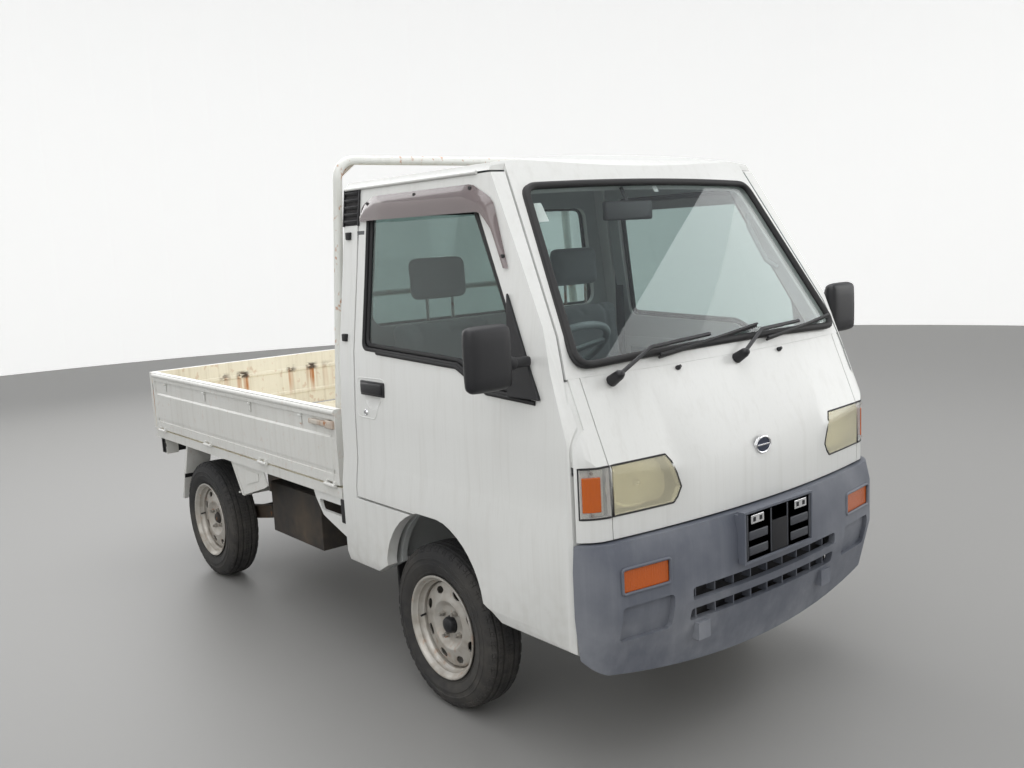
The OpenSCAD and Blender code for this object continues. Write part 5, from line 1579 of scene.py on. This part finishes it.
@dataclass
class Interior:
    """What shows through the glass: seats, dashboard, steering wheel and small fittings."""

    shop: Workshop
    seat_x: float = 0.330
    seat_w: float = 0.430
    deck: float = 0.7003
    voxel: float = 0.009
    swell: float = 0.012

    def build(self) -> None:
        """Makes every inside piece."""
        first = None
        for side in Side:
            first = self.seat(side) or first
        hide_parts("seats")
        self.dash()
        self.steering()
        self.fittings()

    def cushion(self, name: str, low: Point, high: Point, lean: float, grooves: Sequence[float],
                finish: Finish) -> bpy.types.Object:
        """One padded piece with sewn grooves.

        Args:
            name: the piece's name.
            low: the low corner of its space.
            high: the high corner of its space.
            lean: how far its top stands behind its foot.
            grooves: where the grooves are across it, from -1 to 1.
            finish: its cover.

        Returns:
            The piece.
        """
        low, high = Vector(low), Vector(high)
        form = Form().box(low + Vector((0.008,) * 3), high - Vector((0.008,) * 3), 0.030)
        for v in form.bm.verts:
            v.co.y += lean * (v.co.z - low.z) / (high.z - low.z)
        mesh = bpy.data.meshes.new(name)
        form.bm.to_mesh(mesh)
        form.bm.free()
        made = bpy.data.objects.new(name, mesh)
        bpy.context.scene.collection.objects.link(made)
        remesh = made.modifiers.new("remesh", "REMESH")
        remesh.mode, remesh.voxel_size = "VOXEL", self.voxel
        made.data = bpy.data.meshes.new_from_object(made.evaluated_get(bpy.context.evaluated_depsgraph_get()))
        made.modifiers.clear()
        self._inflate(made)
        self._sew(made, low, high, grooves)
        for polygon in made.data.polygons:
            polygon.use_smooth = True
        made.data.materials.clear()
        made.data.materials.append(self.shop.material(finish))
        rounder = made.modifiers.new("smooth", "SUBSURF")
        rounder.levels = rounder.render_levels = 1
        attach(made, "truck")
        LOG.info("%s: %d vertices", name, len(made.data.vertices))
        return made

    def _inflate(self, made: bpy.types.Object) -> None:
        """Swells a pad with pressure, within a limit."""
        before = [v.co.copy() for v in made.data.vertices]
        cloth = made.modifiers.new("pressure", "CLOTH")
        cloth.settings.use_pressure = True
        cloth.settings.uniform_pressure_force = 4.0
        cloth.settings.effector_weights.gravity = 0.0
        cloth.settings.quality = 4
        scene = bpy.context.scene
        for step in range(1, 15):
            scene.frame_set(step)
        swollen = bpy.data.meshes.new_from_object(made.evaluated_get(bpy.context.evaluated_depsgraph_get()))
        made.modifiers.clear()
        made.data = swollen
        for v, start in zip(made.data.vertices, before):
            move = v.co - start
            if move.length > self.swell:
                v.co = start + move.normalized() * self.swell
        scene.frame_set(1)

    @staticmethod
    def _sew(made: bpy.types.Object, low: Vector, high: Vector, grooves: Sequence[float]) -> None:
        """Draws sewn grooves into a pad across its width."""
        middle, half = (low.x + high.x) / 2, (high.x - low.x) / 2
        for v in made.data.vertices:
            for place in grooves:
                off = (v.co.x - middle - place * half) / 0.008
                v.co += -v.normal * 0.006 * math.exp(-off * off)

    def seat(self, side: Side) -> bpy.types.Object:
        """A seat: cushion, back rest, headrest with its posts, and belt."""
        x = side.value * self.seat_x
        a, b = x - self.seat_w / 2, x + self.seat_w / 2
        base = self.cushion(f"seat_cushion_{side.tag}", (a, -0.950, self.deck + 0.002), (b, -0.500, self.deck + 0.116),
                            0.0, (-0.55, 0.55), SEAT_CLOTH)
        self.cushion(f"seat_back_{side.tag}", (a, -0.545, self.deck + 0.090), (b, -0.455, self.deck + 0.545), 0.060,
                     (-0.55, 0.55), SEAT_CLOTH)
        self.cushion(f"headrest_{side.tag}", (x - 0.125, -0.478, self.deck + 0.600), (x + 0.125, -0.408,
                                                                                      self.deck + 0.765), 0.008, (),
                     SEAT_CLOTH)
        posts = Form()
        for s in (-1, 1):
            posts.rod((x + s * 0.055, -0.444, self.deck + 0.535), (x + s * 0.055, -0.444, self.deck + 0.615), 0.0055)
        self.shop.piece(f"headrest_posts_{side.tag}", posts, BOLT_STEEL, "truck")
        shell = Form().box((a + 0.02, -0.470, self.deck), (b - 0.02, -0.425, self.deck + 0.120), 0.01)
        shell.box((a + 0.03, -0.93, self.deck - 0.0002), (b - 0.03, -0.46, self.deck + 0.02), 0.004)
        self.shop.piece(f"seat_shell_{side.tag}", shell, SEAT_VINYL, "truck", "seat_cover")
        edge = side.value * 0.618
        belt = Form().prism([(edge, -0.430, 1.560), (edge, -0.385, 1.560), (edge, -0.385, 0.760),
                             (edge, -0.430, 0.760)], (-side.value * 0.0015, 0, 0))
        belt.box((edge - 0.014, -0.432, 0.700), (edge + 0.012, -0.372, 0.770), 0.004)
        self.shop.piece(f"seat_belt_{side.tag}", belt, SEAT_VINYL, "truck")
        return base

    def dash(self) -> None:
        """The dashboard with its hood, gauges, vents, radio and glove box."""
        self.shop.panel("dashboard", DASH_GREY, "dash_plastic", 0.008, sharp=35)
        hood = Form().box((-0.480, -1.300, 1.060), (-0.180, -1.215, 1.128), 0.020)
        self.shop.piece("gauge_hood", hood, DASH_GREY, "truck", "dash_plastic")
        faces = Form()
        for x, r in ((-0.370, 0.038), (-0.280, 0.030)):
            faces.lathe([(0.0, 0.0015), (r - 0.004, 0.0015), (r - 0.002, 0.004), (r, 0.0)], (x, -1.2145, 1.092),
                        (0, 1, 0.15), 40)
        self.shop.piece("gauges", faces, BLACK_PLASTIC, "truck", "black_plastic")
        vents = Form()
        for x in (-0.560, -0.060, 0.080, 0.560):
            for k in range(4):
                vents.box((x - 0.035, -1.215, 1.018 + k * 0.010), (x + 0.035, -1.205, 1.022 + k * 0.010), 0.001)
        vents.box((-0.055, -1.232, 0.930), (0.125, -1.221, 0.978), 0.003)
        self.shop.piece("dash_vents", vents, BLACK_PLASTIC, "truck", "black_plastic")
        # A near-black strip along the inside foot of the windshield: painted shade of the demister slot.
        cover = [CAB.pane(x, 0.006, -0.060) for x in (-0.56, -0.3, 0.0, 0.3, 0.56)]
        self.shop.tube("demister_slot", cover, 0.006, PAINTED_SHADE, "truck")

    def steering(self) -> None:
        """The steering wheel with its rim, spokes and boss."""
        centre, tilt = Vector((-0.330, -1.050, 1.135)), math.radians(35)
        axis = Vector((0, math.sin(tilt), math.cos(tilt)))
        turn = Matrix.Translation(centre) @ Matrix.Rotation(-tilt, 4, "X")
        form = Form()
        ring = [(0.178 + 0.0118 * math.cos(math.tau * k / 14), 0.0118 * math.sin(math.tau * k / 14)) for k in range(14)]
        form.lathe(ring + ring[:1], centre, axis, 72)
        for a in (90, 205, 335):
            a = math.radians(a)
            spoke = Form().box((0.030, -0.014, -0.010), (0.172, 0.014, 0.002), 0.004)
            bmesh.ops.transform(spoke.bm, matrix=turn @ Matrix.Rotation(a, 4, "Z"), verts=spoke.bm.verts)
            part = bpy.data.meshes.new("spoke")
            spoke.bm.to_mesh(part)
            spoke.bm.free()
            form.bm.from_mesh(part)
        form.lathe([(0.0, 0.012), (0.030, 0.011), (0.044, 0.006), (0.051, -0.004), (0.049, -0.014), (0.020, -0.016),
                    (0.020, -0.036), (0.0085, -0.0365)], centre, axis, 48)
        made = self.shop.piece("steering_wheel_rim", form, DASH_GREY, "steering_wheel", "dash_plastic")
        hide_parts("steering_wheel")

    def fittings(self) -> None:
        """The inner mirror, sun visors, grab handle, gear lever and pedals."""
        mirror = Form().box((-0.205, -1.172, 1.545), (0.005, -1.150, 1.605), 0.008)
        mirror.rod((-0.100, -1.165, 1.590), (-0.100, -1.130, 1.655), 0.006)
        self.shop.piece("inner_mirror", mirror, BLACK_PLASTIC, "truck", "black_plastic")
        shades = Form()
        for s in (-1, 1):
            shades.box((s * 0.290 - 0.150, -1.080, 1.672), (s * 0.290 + 0.150, -0.930, 1.688), 0.006)
        self.shop.piece("sun_shades", shades, CAB_INNER, "truck", "cab_inner")
        grab = [CAB.pane(0.520, up, -0.075) for up in (0.30, 0.33, 0.40, 0.47, 0.50)]
        grab[0], grab[-1] = CAB.pane(0.535, 0.29, -0.058), CAB.pane(0.520, 0.51, -0.058)
        self.shop.tube("grab_handle", grab, 0.008, DASH_GREY, "truck", slot="dash_plastic")
        lever = [(-0.060, -1.020, 0.432), (-0.060, -1.010, 0.60), (-0.065, -0.985, 0.760)]
        self.shop.tube("gear_lever_stalk", lever, 0.007, BOLT_STEEL, "truck")
        knob = Form().ball((-0.066, -0.980, 0.785), (0.024, 0.024, 0.028))
        knob.lathe([(0.0, 0.07), (0.020, 0.06), (0.050, 0.010), (0.055, 0.0)], (-0.060, -1.020, 0.4305), (0, 0, 1), 32)
        self.shop.piece("gear_knob", knob, BLACK_PLASTIC, "truck", "black_plastic")
        pedals = Form()
        for x in (-0.44, -0.33, -0.22):
            pedals.box((x - 0.032, -1.345, 0.520), (x + 0.032, -1.333, 0.580), 0.004,
                       Matrix.Rotation(math.radians(-35), 4, "X"))
            pedals.rod((x, -1.350, 0.550), (x, -1.470, 0.700), 0.006)
        self.shop.piece("pedals", pedals, BLACK_PLASTIC, "truck", "black_plastic")


@dataclass
class Underside:
    """Frame, engine, tank, exhaust and running gear."""

    shop: Workshop
    coil_r: float = 0.048
    turns: int = 6
    plain: dict[str, Finish] = field(default_factory=lambda: {
        "chassis_frame": UNDERSIDE, "engine_block": CAST_IRON, "rear_axle": CAST_IRON, "fuel_tank": UNDERSIDE,
        "muffler": EXHAUST, "front_suspension": UNDERSIDE, "knuckle_right": CAST_IRON, "knuckle_left": CAST_IRON})
    slots: dict[str, str] = field(default_factory=lambda: {
        "chassis_frame": "frame_paint", "engine_block": "engine_iron", "rear_axle": "engine_iron",
        "fuel_tank": "frame_paint", "muffler": "muffler_steel", "front_suspension": "frame_paint",
        "knuckle_right": "engine_iron", "knuckle_left": "engine_iron"})

    def build(self) -> None:
        """Makes the underside's pieces."""
        for node, finish in self.plain.items():
            self.shop.panel(node, finish, self.slots[node], 0.003, sharp=35)
        for side in Side:
            self._coil(side)
        self._engine_fins()

    def _coil(self, side: Side) -> None:
        """A coil spring round the front strut."""
        x, y, low, high = 0.4975, -0.814, 0.400, 0.628
        line = []
        for k in range(self.turns * 14 + 1):
            a = math.tau * k / 14
            line.append((x + self.coil_r * math.cos(a), y + self.coil_r * math.sin(a),
                         low + (high - low) * k / (self.turns * 14)))
        self.shop.tube(f"front_spring_{side.tag}", line, 0.0055, UNDERSIDE, "truck", slot="frame_paint", side=side)
        seat = Form().lathe([(0.020, 0.004), (0.058, 0.004), (0.058, -0.002), (0.020, -0.004)], (x, y, 0.394),
                            (0, 0, 1), 32)
        self.shop.piece(f"spring_seat_{side.tag}", seat.on(side), UNDERSIDE, "truck", "frame_paint")

    def _engine_fins(self) -> None:
        """The sump's ribs, bolts and filter on the engine and transaxle."""
        form = Form()
        for k in range(8):
            y = 1.130 + k * 0.038
            form.box((-0.170, y, 0.246), (0.170, y + 0.010, 0.252), 0.002)
        form.lathe([(0.0, 0.075), (0.036, 0.074), (0.038, 0.068), (0.038, 0.0), (0.0, 0.0)], (0.190, 1.30, 0.340),
                   (1, 0, 0), 32)
        for x in (-0.150, -0.050, 0.050, 0.150):
            form.rod((x, 1.441, 0.300), (x, 1.450, 0.300), 0.008, sides=6)
            form.rod((x, 1.441, 0.500), (x, 1.450, 0.500), 0.008, sides=6)
        self.shop.piece("engine_ribs", form, CAST_IRON, "truck", "engine_iron")


class Studio:
    """The camera, soft light, floor and backdrop."""

    place = (-2.38224, -3.36415, 1.51115)
    lens = 34.743

    def build(self, shop: Workshop) -> None:
        """Sets the studio up.

        Args:
            shop: gives the floor's finish.
        """
        data = bpy.data.cameras.new("camera")
        data.lens, data.sensor_width = self.lens, 36.0
        data.clip_start, data.clip_end = 0.05, 100.0
        camera = bpy.data.objects.new("camera", data)
        camera.rotation_mode = "QUATERNION"
        camera.location = self.place
        camera.rotation_quaternion = self.turn()
        bpy.context.scene.collection.objects.link(camera)
        bpy.context.scene.camera = camera
        self._light("key", (-4.2, -3.2, 5.2), 5.0, 150.0)
        self._light("top", (0.5, 0.5, 6.5), 7.0, 350.0)
        self._light("fill", (4.5, -4.0, 3.0), 4.0, 80.0)
        self._light("back", (0.5, 6.0, 4.0), 5.0, 140.0)
        world = bpy.data.worlds.new("world")
        world.use_nodes = True
        world.node_tree.nodes["Background"].inputs["Color"].default_value = (0.93, 0.95, 1.0, 1.0)
        world.node_tree.nodes["Background"].inputs["Strength"].default_value = 0.45
        bpy.context.scene.world = world
        bpy.context.scene.view_settings.view_transform = "Standard"
        floor = Form()
        bmesh.ops.create_grid(floor.bm, x_segments=1, y_segments=1, size=14.0)
        wall = Form().lathe([(11.5, 0.0), (11.5, 8.0)], (0, 0, 0.001), (0, 0, 1), 96)
        for name, form, finish in (("studio_floor", floor, FLOOR), ("studio_wall", wall, WALL)):
            mesh = bpy.data.meshes.new(name)
            form.bm.to_mesh(mesh)
            form.bm.free()
            made = bpy.data.objects.new(name, mesh)
            mesh.materials.append(shop.material(finish))
            bpy.context.scene.collection.objects.link(made)

    @staticmethod
    def turn() -> Quaternion:
        """The camera's turn: level-headed apart from a slight roll."""
        away = Vector((1.6245313, -0.62263058, 0.46402147))
        seen = Quaternion(away.normalized(), away.length).to_matrix()
        return Matrix((seen[0], -seen[1], -seen[2])).transposed().to_quaternion()

    @staticmethod
    def _light(name: str, place: Point, size: float, power: float) -> None:
        """A large soft light aimed at the truck.

        Args:
            name: its name.
            place: where it is.
            size: its side.
            power: its power in watts.
        """
        data = bpy.data.lights.new(name, "AREA")
        data.size, data.energy = size, power
        made = bpy.data.objects.new(name, data)
        made.location = place
        made.rotation_mode = "QUATERNION"
        made.rotation_quaternion = (Vector((0, 0, 0.6)) - Vector(place)).to_track_quat("-Z", "Y")
        bpy.context.scene.collection.objects.link(made)


def main() -> None:
    """Builds the truck's looks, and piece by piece."""
    logging.basicConfig(level=logging.INFO, format="%(message)s", stream=sys.stdout)
    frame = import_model()
    shop = Workshop(frame)
    Cab(shop).build()
    Lamps(shop).build()
    Bumper(shop).build()
    for side in Side:
        Door(shop, side).build()
        Gate(shop, f"side_gate_{side.tag}", side).build()
        for axle in ("front", "rear"):
            Wheel(shop, axle, side).build()
    Gate(shop, "tailgate").build()
    Bed(shop).build()
    Interior(shop).build()
    Underside(shop).build()
    Studio().build(shop)


if __name__ == "__main__":
    main()
